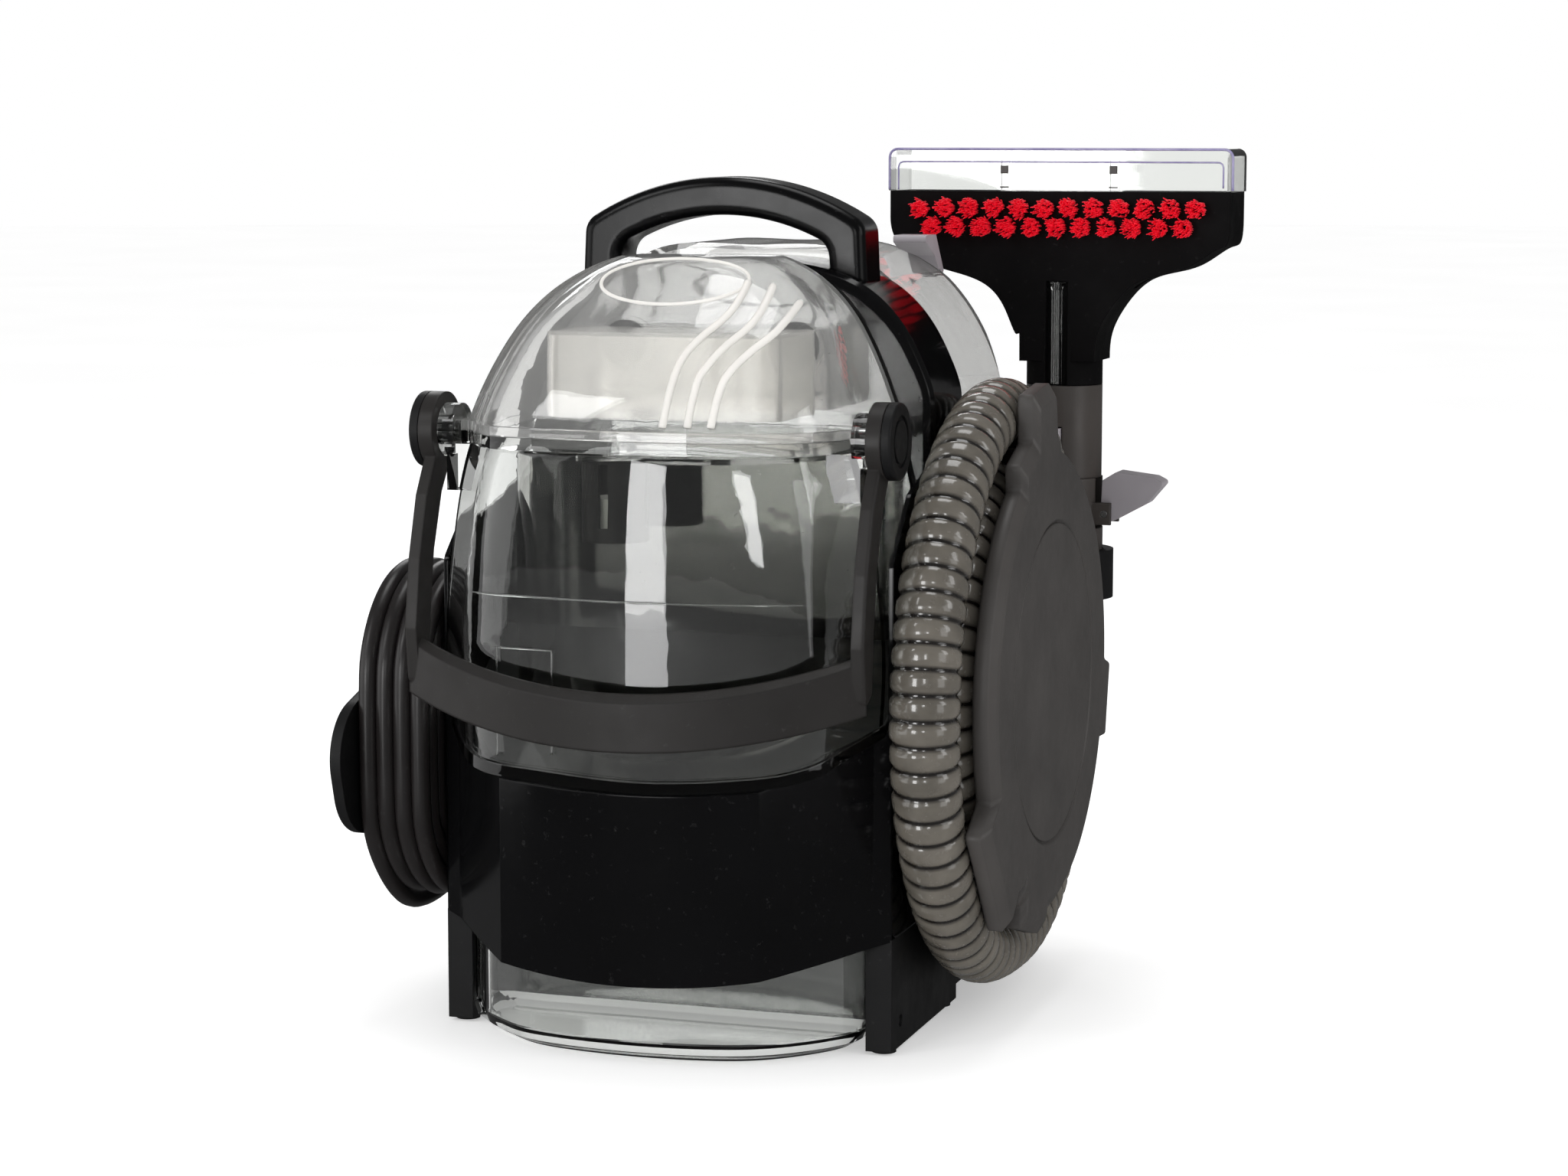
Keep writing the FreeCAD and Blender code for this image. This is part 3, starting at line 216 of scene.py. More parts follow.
def let_lamps_through(material, tree, shader, colour):
    """Light from a lamp crosses the wall tinted, instead of being stopped by it."""
    through = tree.nodes.new("ShaderNodeBsdfTransparent")
    through.inputs["Color"].default_value = colour
    rays = tree.nodes.new("ShaderNodeLightPath")
    choose = tree.nodes.new("ShaderNodeMixShader")
    tree.links.new(rays.outputs["Is Shadow Ray"], choose.inputs["Fac"])
    tree.links.new(shader.outputs["BSDF"], choose.inputs[1])
    tree.links.new(through.outputs["BSDF"], choose.inputs[2])
    tree.links.new(choose.outputs["Shader"], tree.nodes["Material Output"].inputs["Surface"])
    return material


def clear_plastic(name, tint, through=1.0, index=1.49):
    """Clear moulding: glass that lets the lamps through, faintly wavy, with fine haze and scuffs."""
    material, tree, shader = new_material(name)
    scuffs = spread(tree, noise(tree, 0.0012, detail=6.0, roughness=0.75), 0, 1, start=0.6, end=0.85)
    tree.links.new(mix_colour(tree, scuffs, scaled(tint), scaled(tint, 0.94)), shader.inputs["Base Color"])
    tree.links.new(spread(tree, noise(tree, 0.03, detail=4.0), 0.01, 0.032), shader.inputs["Roughness"])
    waves = bump(tree, noise(tree, 0.02, detail=1.0), 0.00012, strength=0.5)
    tree.links.new(waves, shader.inputs["Normal"])
    shader.inputs["Transmission Weight"].default_value = through
    shader.inputs["IOR"].default_value = index
    return let_lamps_through(material, tree, shader, scaled(tint, 0.9))


def haze_and_glint_plastic(name, through):
    """The lid's inner box and its ribs: clear, with a fine moulded haze that picks up light; the ribs, with
    little light let through, are whitish, a painted highlight standing in for the glint of clear ribs.
    """
    material, tree, shader = new_material(name)
    cloud = spread(tree, noise(tree, 0.03), 0, 1)
    shade = mix_colour(tree, cloud, (0.92, 0.90, 0.87, 1), (0.99, 0.97, 0.94, 1))
    tree.links.new(shade, shader.inputs["Base Color"])
    tree.links.new(spread(tree, noise(tree, 0.02, detail=2.0), 0.10, 0.2), shader.inputs["Roughness"])
    tree.links.new(bump(tree, noise(tree, 0.012, detail=2.0), 0.0001), shader.inputs["Normal"])
    shader.inputs["Transmission Weight"].default_value = through
    shader.inputs["IOR"].default_value = 1.3
    return let_lamps_through(material, tree, shader, (0.85, 0.86, 0.85, 1))


def attribute(tree, name):
    """A value that the mesh carries at each of its points."""
    node = tree.nodes.new("ShaderNodeAttribute")
    node.attribute_name = name
    return node.outputs["Fac"]


def hose_smoke():
    """Smoky stretch hose: near-black in each groove, partly the dark wire and partly painted shade, a paler
    glossy crest, uneven along its length.
    """
    material, tree, shader = new_material("hose_smoke_look")
    # Painted shade: the crest share darkens the grooves to near black, standing partly for the wire and
    # partly for shade in the grooves.
    crest = spread(tree, attribute(tree, "crest"), 0, 1, start=0.15, end=0.6)
    groove = scaled(linear(26, 23, 21))
    patches = spread(tree, noise(tree, 0.02), 0, 1)
    body = mix_colour(tree, patches, scaled(linear(88, 84, 77)), scaled(linear(112, 107, 99)))
    tree.links.new(mix_colour(tree, crest, groove, body), shader.inputs["Base Color"])
    tree.links.new(spread(tree, noise(tree, 0.004, detail=4.0), 0.16, 0.3), shader.inputs["Roughness"])
    tree.links.new(bump(tree, noise(tree, 0.0025), 0.0001), shader.inputs["Normal"])
    shader.inputs["Subsurface Weight"].default_value = 0.15
    shader.inputs["Subsurface Radius"].default_value = (0.006, 0.005, 0.004)
    shader.inputs["Coat Weight"].default_value = 1.0
    shader.inputs["Coat Roughness"].default_value = 0.08
    return material


def bristle_red():
    """Red nylon, brighter and more uneven towards the tips, with a faint painted glow: red emission that
    stands in for light, as nylon gives none of its own.
    """
    material, tree, shader = new_material("bristle_red_look")
    along = spread(tree, attribute(tree, "tip"), 0, 1, start=0.0, end=0.8)
    root, end = scaled(linear(215, 0, 30)), scaled(linear(255, 10, 55))
    uneven = mix_colour(tree, spread(tree, noise(tree, 0.0015), 0, 1), root, end)
    tree.links.new(mix_colour(tree, along, root, uneven), shader.inputs["Base Color"])
    tree.links.new(spread(tree, noise(tree, 0.001), 0.35, 0.55), shader.inputs["Roughness"])
    shader.inputs["Sheen Weight"].default_value = 0.1
    # Painted glow: a red emission that brightens the tufts as if lit, though they are no lamp.
    shader.inputs["Emission Color"].default_value = (0.9, 0.0, 0.02, 1)
    shader.inputs["Emission Strength"].default_value = 0.22
    return material


def violet_edge():
    """The moulded edges of the clear nozzle, where its violet tint gathers."""
    material, tree, shader = new_material("violet_edge_look")
    uneven = spread(tree, noise(tree, 0.01), 0, 1)
    shade = mix_colour(tree, uneven, scaled(linear(150, 142, 190)), scaled(linear(190, 184, 218)))
    tree.links.new(shade, shader.inputs["Base Color"])
    tree.links.new(spread(tree, noise(tree, 0.004), 0.1, 0.25), shader.inputs["Roughness"])
    tree.links.new(bump(tree, noise(tree, 0.003), 0.00003), shader.inputs["Normal"])
    shader.inputs["Transmission Weight"].default_value = 0.35
    return material


# ---------------------------------------------------------------- looks
# Display colour, roughness, size and height of the grain, width of the softened edges, specular level.
PLASTICS = {
    "gloss_black": ((8, 8, 9), 0.10, 0.004, 0.00001, 0.0009, 0.3),
    "cover_black": ((10, 10, 11), 0.12, 0.004, 0.00001, 0.0009, 0.2),
    "handle_black": ((9, 9, 10), 0.2, 0.004, 0.00001, 0.0012, 0.22),
    "satin_black": ((21, 21, 22), 0.5, 0.0005, 0.00003, 0.0006, 0.25),
    "head_black": ((14, 13, 14), 0.6, 0.0005, 0.00003, 0.0006, 0.06),
    "charcoal": ((38, 36, 35), 0.42, 0.0005, 0.00004, 0.0012, 0.3),
    "disc_grey": ((70, 67, 65), 0.46, 0.0005, 0.00005, 0.0009, 0.5),
    "grip_grey": ((66, 61, 58), 0.40, 0.0005, 0.00004, 0.001, 0.5),
    "light_grey": ((158, 153, 158), 0.36, 0.0005, 0.00003, 0.0007, 0.5),
    "rubber_black": ((26, 25, 25), 0.75, 0.0004, 0.00006, 0.0006, 0.5),
    "cord_black": ((30, 27, 27), 0.34, 0.0008, 0.00003, 0.0003, 0.5),
    "white_plastic": ((222, 222, 218), 0.35, 0.0005, 0.00002, 0.0006, 0.5),
    "switch_red": ((150, 14, 22), 0.35, 0.0005, 0.00002, 0.0006, 0.5),
}
# Display colour, roughness, and how much finer the lines are along x, y and z.
METALS = {
    "steel": ((196, 196, 198), 0.28, (1, 1, 12)),
    "brass": ((205, 170, 95), 0.25, (1, 12, 1)),
    "copper_motor": ((190, 115, 75), 0.35, (1, 1, 8)),
    "aluminium": ((205, 206, 208), 0.35, (1, 1, 10)),
}
LOOKS = {
    "clear": clear_plastic("clear_look", (0.945, 0.955, 0.94)),
    "clear_dome": clear_plastic("clear_dome_look", (0.96, 0.96, 0.95), through=0.93),
    "clear_faint": clear_plastic("clear_faint_look", (0.62, 0.62, 0.60), index=1.08),
    "clear_milky": haze_and_glint_plastic("clear_milky_look", 0.84),
    # Ribs and the flat's edge: whitish with little light through, a painted highlight for the glint of the
    # clear mouldings.
    "clear_rib": haze_and_glint_plastic("clear_rib_look", 0.35),
    "violet_edge": violet_edge(),
    "hose_smoke": hose_smoke(),
    "bristle_red": bristle_red(),
}
for name, (colour, *rest) in PLASTICS.items():
    LOOKS[name] = plastic(name + "_look", linear(*colour), *rest)
for name, (colour, *rest) in METALS.items():
    LOOKS[name] = metal(name + "_look", linear(*colour), *rest)

# CAD nodes that look different from the rest of their material slot.
OWN_LOOKS = {
    "baffle_box": "clear_milky",
    "dome_lid": "clear_dome",
    "tank_separator": "clear_faint",
    "front_cover": "cover_black",
    "tool_head": "head_black",
    "carry_handle": "handle_black",
    "power_switch": "switch_red",
    "clean_tank": "clear_dome",
}
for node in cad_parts.values():
    for held in node.material_slots:
        held.material = LOOKS[held.material.name.split(".")[0]]
for name, look in OWN_LOOKS.items():
    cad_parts[name].material_slots[0].material = LOOKS[look]


# ---------------------------------------------------------------- piece helpers
def add_piece(name, mesh, body, slot, look=None, smooth=True):
    """A piece that rides on a body, with the look of its slot unless it has another."""
    piece = bpy.data.objects.new(name, mesh)
    bpy.context.scene.collection.objects.link(piece)
    piece.data.materials.append(LOOKS[look or slot])
    if smooth:
        piece.data.shade_smooth()
    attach(piece, body)
    return piece


def nurbs(name, points, steps=12):
    """An open spline with these points as its control points, and so many steps from one to the next."""
    data = bpy.data.curves.new(name, "CURVE")
    data.dimensions = "3D"
    data.resolution_u = steps
    spline = data.splines.new("NURBS")
    spline.points.add(len(points) - 1)
    for held, point in zip(spline.points, points):
        held.co = (*point, 1.0)
    spline.order_u = 3
    spline.use_endpoint_u = True
    return bpy.data.objects.new(name, data)


def curve_line(points):
    """The points along the smooth line of a route."""
    curve = nurbs("line", points)
    mesh = bpy.data.meshes.new_from_object(curve)
    line = [v.co.copy() for v in mesh.vertices]
    bpy.data.objects.remove(curve)
    return line


def line_length(line):
    return sum((b - a).length for a, b in zip(line, line[1:]))


def spaced(line, step):
    """The same line with points a step apart, and how far along each one is."""
    out, along, walked, due = [line[0].copy()], [0.0], 0.0, step
    for a, b in zip(line, line[1:]):
        run = (b - a).length
        while run > 0 and walked + run >= due:
            out.append(a.lerp(b, (due - walked) / run))
            along.append(due)
            due += step
        walked += run
    return out, along


def skin(bm, rings):
    """Faces from each ring to the next, and one across each end."""
    for first, second in zip(rings, rings[1:]):
        for k in range(len(first)):
            n = (k + 1) % len(first)
            bm.faces.new((first[k], first[n], second[n], second[k]))
    bm.faces.new(list(reversed(rings[0])))
    bm.faces.new(rings[-1])


def tube_mesh(name, line, radius_at, around):
    """A closed tube along a line; radius_at gives the radius at each point."""
    mesh = bpy.data.meshes.new(name)
    bm = bmesh.new()
    side = Vector((1, 0, 0))
    rings = []
    for i, point in enumerate(line):
        heading = (line[min(i + 1, len(line) - 1)] - line[max(i - 1, 0)]).normalized()
        side = (side - heading * side.dot(heading)).normalized()
        up = heading.cross(side)
        radius = radius_at(i)
        ring = []
        for k in range(around):
            a = 2 * math.pi * k / around
            ring.append(bm.verts.new(point + (side * math.cos(a) + up * math.sin(a)) * radius))
        rings.append(ring)
    skin(bm, rings)
    bmesh.ops.recalc_face_normals(bm, faces=bm.faces[:])
    bm.to_mesh(mesh)
    bm.free()
    return mesh


def around_axis(centre, radius, degrees, x):
    """The point at this angle round a line along x."""
    a = math.radians(degrees)
    return Vector((x, centre[0] + radius * math.cos(a), centre[1] + radius * math.sin(a)))


# ---------------------------------------------------------------- hose
INNER_TURN = range(104, 361, 16)      # degrees round the hub, from the port
WIDENING = ((375, 0.0885), (390, 0.093), (405, 0.099), (420, 0.106), (435, 0.112))      # degrees, radius
OUTER_TURN = range(450, 616, 15)
OUTER_REACH = 1.004                   # the spline cuts a little inside its points
HOSE_RISE = ((HOSE_X, 0.018, 0.025), (HOSE_X, 0.050, 0.0254), (HOSE_X, 0.084, 0.037),
             (0.1125, 0.113, 0.062), (0.111, 0.1335, 0.097), (GRIP_X, GRIP_Y, 0.137))
POINTS_PER_RIB = 8
HOSE_SIDES = 32


def hose_route():
    """From the port, one turn on the hub, then out to a wider turn, and off it to the grip."""
    points = [around_axis(HUB, HOSE_INNER_R, angle, HOSE_X) for angle in INNER_TURN]
    points += [around_axis(HUB, radius, angle, HOSE_X) for angle, radius in WIDENING]
    points += [around_axis(HUB, HOSE_OUTER_R * OUTER_REACH, angle, HOSE_X) for angle in OUTER_TURN]
    points += [Vector(p) for p in HOSE_RISE]
    return points


def make_hose():
    line, along = spaced(curve_line(hose_route()), RIB_PITCH / POINTS_PER_RIB)

    def groove(i):
        """From 0 on a crest to 1 at the bottom of a groove."""
        phase = (along[i] / RIB_PITCH) % 1.0
        return math.exp(-((phase - 0.5) / GROOVE_WIDTH) ** 2)

    def radius_at(i):
        return HOSE_D / 2 * (1.0 - GROOVE_DEPTH * groove(i))

    mesh = tube_mesh("vacuum_hose", line, radius_at, HOSE_SIDES)
    # crest: 1 on a crest, 0 in a groove; the hose look paints shade into the grooves from it.
    crest = mesh.attributes.new("crest", "FLOAT", "POINT")
    for i in range(len(line)):
        for k in range(HOSE_SIDES):
            crest.data[i * HOSE_SIDES + k].value = 1.0 - groove(i)
    hose = add_piece("vacuum_hose", mesh, "machine", "hose_smoke")
    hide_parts("hose_coil", "hose_tail")


make_hose()


# ---------------------------------------------------------------- mains cord
LEAD_HEIGHTS = (0.075, 0.092)         # up from the gland to the first turn
TURN_POINTS = 360 // COIL_STEP
LAST_TURN_POINTS = 15                 # the last turn stops short, to leave for the plug
CROSSING_START, CROSSING_RUN = 245, 65      # degrees: where a turn moves over to the next one
COIL_LEAVE = ((0.0495, 237, -0.1262), (0.0535, 253, -0.125))      # radius, degrees, x
CORD_TAIL = ((SPOOL[0], 0.0), (-0.022, 0.002), (0.002, 0.011), (0.022, 0.026), (0.036, 0.045))      # y, rise


def eased(share):
    """From 0 to 1, slow at both ends."""
    share = min(1.0, max(0.0, share))
    return share * share * (3 - 2 * share)


def on_coil(radius, degrees, x):
    """A point of a turn, whose two round ends have straight sides between them."""
    y, z = SPOOL[0], SPOOL[1] + math.copysign(SPOOL_STRAIGHT, math.sin(math.radians(degrees)))
    return around_axis((y, z), radius, degrees, x)


def cord_route():
    """Up out of the gland, twelve turns in four flat lanes on the spool, then off the bottom to the plug."""
    x, y, z = CORD_EXIT
    points = [Vector((x, y, height)) for height in (z, *LEAD_HEIGHTS)]
    order = [(lane, radius) for k, lane in enumerate(COIL_LANES)
             for radius in (COIL_RADII[::-1] if k % 2 == 0 else COIL_RADII)]
    half = COIL_STEP / 2
    widen = 1 / math.cos(math.radians(half))
    for turn, (lane, radius) in enumerate(order):
        last = turn == len(order) - 1
        next_lane, next_radius = (lane, radius) if last else order[turn + 1]
        for k in range(LAST_TURN_POINTS if last else TURN_POINTS):
            degrees = half + COIL_STEP * k
            share = eased((degrees - CROSSING_START) / CROSSING_RUN)
            r = (radius + (next_radius - radius) * share) * widen
            points.append(on_coil(r, degrees, lane + (next_lane - lane) * share))
    points += [on_coil(*leave) for leave in COIL_LEAVE]
    points += [Vector((TAIL_X, y, TAIL_Z + rise)) for y, rise in CORD_TAIL]
    return points


def make_mains_cord():
    route = cord_route()
    cord = nurbs("mains_cord", route, steps=4)
    bpy.context.scene.collection.objects.link(cord)
    cord.data.bevel_depth = CORD_D / 2
    cord.data.bevel_resolution = 5
    cord.data.use_fill_caps = True
    cord.data.materials.append(LOOKS["cord_black"])
    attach(cord, "machine")
    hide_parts("cord_coil", "cord_lead", "cord_tail")
    line_length(curve_line(route))


make_mains_cord()


# ---------------------------------------------------------------- hose wrap disc
DISC_TABS = ((86, 90, 0.108), (90, 104, 0.127), (104, 118, 0.108), (-22, -3, 0.109), (203, 233, 0.118),
             (245, 264, 0.107))       # from, to, in degrees, and how far out
NOTCH_MIDDLE, NOTCH_HALF = 239.5, 5.5       # degrees
NOTCH_R, NOTCH_SLOPE = 0.086, 0.0085        # its bottom, and its rise for each degree
DEGREE_POINTS = 2                     # points of the outline in each degree
RIM_TILT = 0.2                        # the rim is shaded smooth, and what faces more along x is flat


def disc_outline():
    """The rim, with tabs that hold the hose and a notch that lets it out, as (y, z) offsets from the hub."""
    points = []
    for step in range(360 * DEGREE_POINTS):
        degrees = step / DEGREE_POINTS - 90
        radius = DISC_R
        for start, end, reach in DISC_TABS:
            if start <= degrees <= end:
                middle, half = math.radians((start + end) / 2), math.radians((end - start) / 2)
                straight = reach * math.cos(half) / math.cos(math.radians(degrees) - middle)
                radius = max(radius, straight)
        off_notch = abs(degrees - NOTCH_MIDDLE)
        if off_notch < NOTCH_HALF:
            radius = min(radius, NOTCH_R + NOTCH_SLOPE * off_notch)
        points.append((radius * math.cos(math.radians(degrees)), radius * math.sin(math.radians(degrees))))
    return points


def softened(points, passes):
    """A closed outline with its corners eased."""
    for _ in range(passes):
        points = [tuple((a[i] + 2 * b[i] + c[i]) / 4 for i in (0, 1))
                  for a, b, c in zip(points[-1:] + points[:-1], points, points[1:] + points[:1])]
    return points


def make_wrap_disc():
    outline = softened(disc_outline(), 3)
    thick = DISC_FACE_X - DISC_BACK_X
    # Depth from the back, and how far in from the outline: eased edges, wider at the face.
    layers = ((0.0, 0.0008), (0.0008, 0.0), (thick - 0.0032, 0.0), (thick - 0.0008, 0.0042), (thick, 0.0060))
    # x and radius of the step down to the round cap in the middle.
    steps = ((DISC_FACE_X, CAP_R + 0.0016), (DISC_FACE_X - 0.0012, CAP_R + 0.0004))
    mesh = bpy.data.meshes.new("wrap_disc")
    bm = bmesh.new()

    def ring(x, radius_of):
        """The outline at x, with each point moved in from its radius to another."""
        verts = []
        for y, z in outline:
            radius = math.hypot(y, z)
            share = radius_of(radius) / radius
            verts.append(bm.verts.new((x, HUB[0] + y * share, HUB[1] + z * share)))
        return verts

    rings = [ring(DISC_BACK_X + depth, lambda radius: radius - inset) for depth, inset in layers]
    rings += [ring(x, lambda radius: inner) for x, inner in steps]
    skin(bm, rings)
    bmesh.ops.recalc_face_normals(bm, faces=bm.faces[:])
    bm.to_mesh(mesh)
    bm.free()
    disc = add_piece("wrap_disc", mesh, "machine", "disc_grey", smooth=False)
    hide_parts("hose_wrap_disc")
    for polygon in mesh.polygons:
        polygon.use_smooth = abs(polygon.normal.x) < RIM_TILT


make_wrap_disc()


# ---------------------------------------------------------------- mouldings of the dome and the tank
RIB_LINES = (                         # x and z of points of each rib, mm
    ((13.9, 255.8), (14.9, 271), (16.9, 282), (22.3, 290), (29.7, 297), (33.1, 304), (33, 311)),
    ((24.1, 256), (24.8, 273), (27.8, 279), (33.1, 287), (40.5, 294), (43.2, 302), (42.3, 310)),
    ((33.4, 256), (34.5, 270.5), (37.3, 277.5), (43.3, 285), (50.2, 291.5), (52.9, 298), (53.6, 303)),
)
FACET = (2.0, 311.0, 31.0, 8.6)       # x, z, half width and half height of the flat in the dome, mm
TANK_LINE_Z, TANK_LINE_HALF = 187, 70       # mm: the step round the tank's middle, and how far it shows
TANK_MARK = (-57, -32, 122, 166)      # x and z limits of the small panel on the tank, mm
RIB_R, RIB_SPACING, RIB_SIDES = 0.0016, 0.0012, 14
FACET_EDGE_R = 0.0008
TANK_LINE_R = 0.0004


def surface_of(node):
    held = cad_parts[node]
    tree = BVHTree.FromObject(held, bpy.context.evaluated_depsgraph_get())
    return tree, held.matrix_world


def on_front(surface, spots):
    """Where lines from the front meet a surface; spots are x and z in millimetres, and some may miss it."""
    tree, world = surface
    back = world.inverted()
    heading = back.to_3x3() @ Vector((0, 1, 0))
    points = []
    for x, z in spots:
        hit = tree.ray_cast(back @ Vector((x / 1000, -1.0, z / 1000)), heading)[0]
        if hit is not None:
            points.append(world @ hit)
    return points


def joined_tubes(name, lines, radius, around=10):
    """Several closed tubes as one mesh."""
    bm = bmesh.new()
    for line in lines:
        part = tube_mesh(name, line, lambda i: radius, around)
        bm.from_mesh(part)
        bpy.data.meshes.remove(part)
    mesh = bpy.data.meshes.new(name)
    bm.to_mesh(mesh)
    bm.free()
    return mesh


def make_dome_mouldings():
    dome = surface_of("dome_lid")
    lines = [spaced(curve_line(on_front(dome, rib)), RIB_SPACING)[0] for rib in RIB_LINES]
    ribs = joined_tubes("dome_ribs", lines, RIB_R, RIB_SIDES)
    # The ribs are whitish: a painted highlight standing in for their glint.
    add_piece("dome_ribs", ribs, "lid", "clear", look="clear_rib")
    x, z, wide, high = FACET
    turns = [math.radians(a) for a in range(0, 361, 4)]
    line = on_front(dome, [(x + wide * math.cos(a), z + high * math.sin(a)) for a in turns])
    edge = joined_tubes("dome_flat_edge", [line], FACET_EDGE_R)
    # The flat's edge is whitish too: a painted highlight along it.
    add_piece("dome_flat_edge", edge, "lid", "clear", look="clear_rib")


def make_tank_mouldings():
    tank = surface_of("recovery_tank")
    step = [(x, TANK_LINE_Z) for x in range(-TANK_LINE_HALF, TANK_LINE_HALF + 1, 4)]
    left, right, low, high = TANK_MARK
    panel = [(left, z) for z in range(low, high, 2)]
    panel += [(x, high) for x in range(left, right, 2)]
    panel += [(right, z) for z in range(high, low, -2)]
    lines = [on_front(tank, spots) for spots in (step, panel)]
    add_piece("tank_lines", joined_tubes("tank_lines", lines, TANK_LINE_R, 8), "recovery_tank_body", "clear")


make_dome_mouldings()
make_tank_mouldings()


# ---------------------------------------------------------------- mouldings of the nozzle
NOZZLE_FACE_Y = 0.1302
NOZZLE_FOOT_Z = 0.3444                # just above the tool head
NOZZLE_FRAMES = {                     # half width, top, radius of the corners and of the moulding
    "nozzle_rim": (0.0787, 0.3627, 0.0037, 0.0006),
    "nozzle_step": (0.0745, 0.3570, 0.0022, 0.0004),
}
NOZZLE_SPACING = 0.0015
MARK_X = 0.025                        # each side of the middle
NOZZLE_MARKS = ((0.3536, 0.0018, 0.0018), (0.3458, 0.0021, 0.0003))      # z, half width, half height
MARK_HALF_DEPTH = 0.0003
MARK_PROUD = 0.0001
MARK_EDGE = 0.0001


def arch(half, top, corner):
    """Up one side, round the corner, across, and down the other side."""
    line = [Vector((GRIP_X - half, NOZZLE_FACE_Y, NOZZLE_FOOT_Z))]
    for centre, start in ((-half + corner, 180), (half - corner, 90)):
        for degrees in range(start, start - 91, -15):
            a = math.radians(degrees)
            line.append(Vector((GRIP_X + centre + corner * math.cos(a), NOZZLE_FACE_Y,
                                top - corner + corner * math.sin(a))))
    line.append(Vector((GRIP_X + half, NOZZLE_FACE_Y, NOZZLE_FOOT_Z)))
    return line


def make_nozzle_mouldings():
    for name, (half, top, corner, radius) in NOZZLE_FRAMES.items():
        line = spaced(arch(half, top, corner), NOZZLE_SPACING)[0]
        add_piece(name, joined_tubes(name, [line], radius), "tool", "clear", look="violet_edge")
    mesh = bpy.data.meshes.new("nozzle_marks")
    bm = bmesh.new()
    for x in (-MARK_X, MARK_X):
        for z, wide, high in NOZZLE_MARKS:
            for v in bmesh.ops.create_cube(bm, size=2.0)["verts"]:
                v.co = Vector((GRIP_X + x + v.co.x * wide,
                               NOZZLE_FACE_Y - MARK_PROUD + v.co.y * MARK_HALF_DEPTH,
                               z + v.co.z * high))
    bmesh.ops.bevel(bm, geom=bm.edges[:], offset=MARK_EDGE, segments=1, affect="EDGES")
    bm.to_mesh(mesh)
    bm.free()
    add_piece("nozzle_marks", mesh, "tool", "clear", look="grip_grey", smooth=False)


make_nozzle_mouldings()


# ---------------------------------------------------------------- bristles
TUFT_ROWS = (12, 11)                  # tufts in each row, from the top one down
TUFT_TOP_Z, TUFT_DROP = 0.3365, 0.0085      # of the top row, and from it to the next
TUFT_Y0 = 0.1290                      # face of the tool head
TUFT_LENGTH = 0.0078
TUFT_PITCH = 0.0115
TUFT_R = 0.0040
FIBRES = 110                          # in each tuft
FIBRE_SIDES = 3
FIBRE_R = (0.00035, 0.0005)
FIBRE_LENGTH = (0.82, 1.0)            # share of the tuft's
FIBRE_FLARE = (0.9, 1.3)              # how far out the tip is, as a share of the root
FIBRE_STRAY = 0.0006                  # of the tip
FIBRE_BEND = 0.0004                   # of the middle


def add_fibre(bm, layer, root, tip, radius):
    """A thin tapered fibre with a slight bend; its layer goes from 0 at the root to 1 at the tip."""
    heading = (tip - root).normalized()
    side = heading.orthogonal().normalized()
    up = heading.cross(side)
    middle = root.lerp(tip, 0.6) + side * random.uniform(-FIBRE_BEND, FIBRE_BEND)
    rings = []
    for point, share, grade in ((root, 1.0, 0.0), (middle, 0.9, 0.6), (tip, 0.45, 1.0)):
        ring = []
        for k in range(FIBRE_SIDES):
            a = 2 * math.pi * k / FIBRE_SIDES
            vertex = bm.verts.new(point + (side * math.cos(a) + up * math.sin(a)) * radius * share)
            vertex[layer] = grade
            ring.append(vertex)
        rings.append(ring)
    skin(bm, rings)


def make_bristles():
    mesh = bpy.data.meshes.new("bristle_fibres")
    bm = bmesh.new()
    layer = bm.verts.layers.float.new("tip")
    for row, count in enumerate(TUFT_ROWS):
        z = TUFT_TOP_Z - TUFT_DROP * row
        for i in range(count):
            x = GRIP_X - (count - 1) * TUFT_PITCH / 2 + TUFT_PITCH * i
            for _ in range(FIBRES):
                reach = TUFT_R * math.sqrt(random.random())
                a = random.uniform(0, 2 * math.pi)
                root = Vector((x + reach * math.cos(a), TUFT_Y0, z + reach * math.sin(a)))
                flare = random.uniform(*FIBRE_FLARE)
                tip = Vector((x + reach * math.cos(a) * flare + random.uniform(-FIBRE_STRAY, FIBRE_STRAY),
                              TUFT_Y0 - TUFT_LENGTH * random.uniform(*FIBRE_LENGTH),
                              z + reach * math.sin(a) * flare + random.uniform(-FIBRE_STRAY, FIBRE_STRAY)))
                add_fibre(bm, layer, root, tip, random.uniform(*FIBRE_R))
    bm.to_mesh(mesh)
    bm.free()
    bristles = add_piece("bristle_fibres", mesh, "tool", "bristle_red")
    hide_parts("bristle_tufts")


make_bristles()


# ---------------------------------------------------------------- studio
FLOOR_R = 12.0
FLOOR_GLOW = 0.38
SOFTBOXES = (      # name, place, aim, width, height, power, and whether it only shows in reflections
    ("key", (-1.2, -1.5, 1.5), (0, 0, 0.15), 0.6, 0.6, 6, False),
    ("front_window", (-0.52, -1.85, 0.30), (0, -0.1, 0.2), 0.42, 0.75, 8, False),
    ("second_window", (0.46, -1.80, 0.50), (0, -0.1, 0.2), 0.20, 0.42, 2, True),
    ("left_card", (-1.45, -0.74, 0.30), (0, -0.1, 0.2), 1.5, 1.0, 6, True),
    ("right_card", (1.45, -0.66, 0.30), (0, -0.1, 0.2), 0.6, 0.9, 2, True),
    ("side", (1.9, -0.3, 1.0), (0.1, 0, 0.15), 0.5, 1.0, 4, False),
    ("top", (0.0, 0.2, 1.8), (0, 0, 0.2), 0.8, 0.8, 6, False),
    ("back", (-0.8, 1.6, 1.2), (0, 0, 0.2), 0.8, 0.8, 5, False),
)


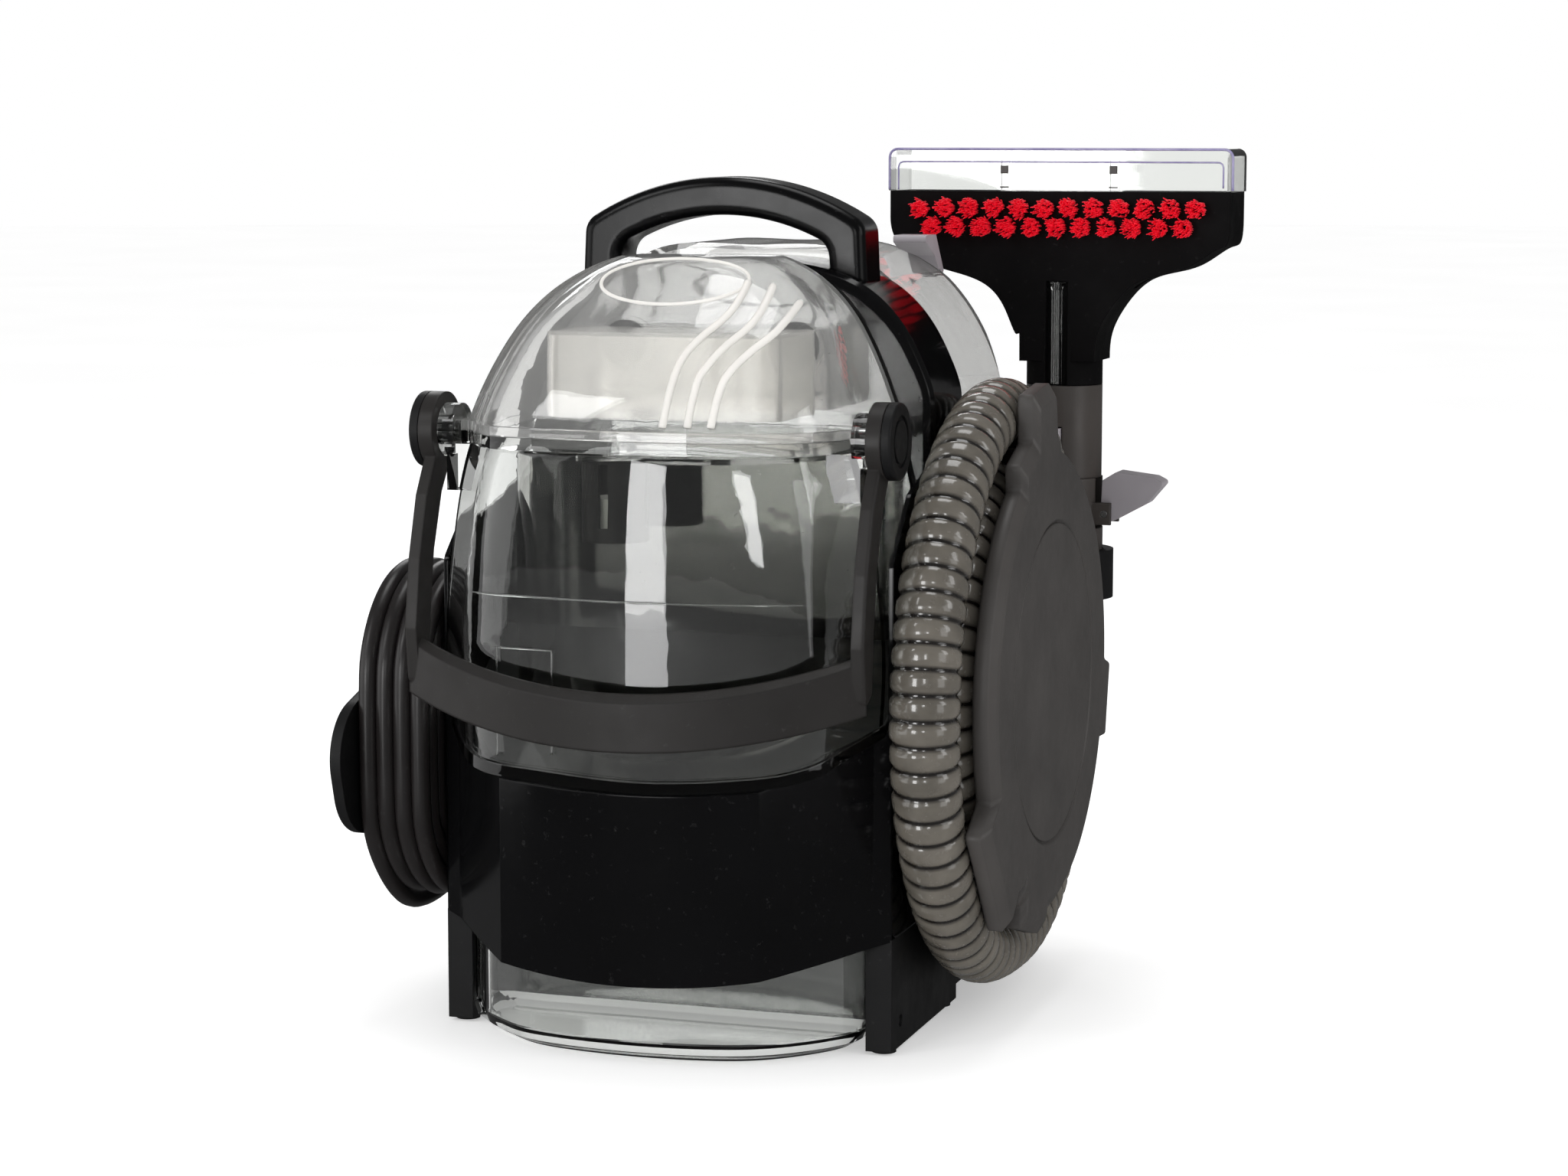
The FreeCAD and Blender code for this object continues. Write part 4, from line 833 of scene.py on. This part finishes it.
def pale_floor():
    material, tree, shader = new_material("floor_look")
    shade = mix_colour(tree, spread(tree, noise(tree, 0.4), 0, 1), (0.86, 0.86, 0.86, 1), (0.9, 0.9, 0.9, 1))
    tree.links.new(shade, shader.inputs["Base Color"])
    shader.inputs["Roughness"].default_value = 0.9
    shader.inputs["Specular IOR Level"].default_value = 0.1
    shader.inputs["Emission Color"].default_value = (1, 1, 1, 1)
    shader.inputs["Emission Strength"].default_value = FLOOR_GLOW
    mesh = bpy.data.meshes.new("floor")
    bm = bmesh.new()
    bmesh.ops.create_circle(bm, cap_ends=True, segments=96, radius=FLOOR_R)
    bm.to_mesh(mesh)
    bm.free()
    floor = bpy.data.objects.new("floor", mesh)
    bpy.context.scene.collection.objects.link(floor)
    mesh.materials.append(material)
    floor.visible_glossy = False


def softbox(name, at, aim, width, height, power, only_mirrored):
    data = bpy.data.lights.new(name, "AREA")
    data.shape = "RECTANGLE"
    data.size = width
    data.size_y = height
    data.energy = power
    lamp = bpy.data.objects.new(name, data)
    lamp.location = at
    lamp.rotation_euler = (Vector(aim) - Vector(at)).to_track_quat("-Z", "Y").to_euler()
    lamp.visible_diffuse = not only_mirrored
    bpy.context.scene.collection.objects.link(lamp)


def studio_world():
    """Pale as seen and as soft light, and dark in reflections, so that gloss black stays black."""
    world = bpy.data.worlds.new("studio")
    world.use_nodes = True
    bpy.context.scene.world = world
    tree = world.node_tree
    background = tree.nodes["Background"]
    background.inputs["Color"].default_value = (1, 1, 1, 1)
    rays = tree.nodes.new("ShaderNodeLightPath")

    def switch(chooser, before, after):
        """One level before the first bounce of a kind, and another after it."""
        node = tree.nodes.new("ShaderNodeMapRange")
        for socket, value in (("To Min", before), ("To Max", after)):
            if isinstance(value, bpy.types.NodeSocket):
                tree.links.new(value, node.inputs[socket])
            else:
                node.inputs[socket].default_value = value
        tree.links.new(rays.outputs[chooser], node.inputs["Value"])
        return node.outputs["Result"]

    mirrored = switch("Transmission Depth", MIRRORED_LEVEL, INSIDE_LEVEL)
    level = switch("Glossy Depth", switch("Diffuse Depth", SEEN_LEVEL, SOFT_LEVEL), mirrored)
    tree.links.new(level, background.inputs["Strength"])


pale_floor()
studio_world()
for row in SOFTBOXES:
    softbox(*row)
bpy.context.scene.view_settings.view_transform = "Standard"
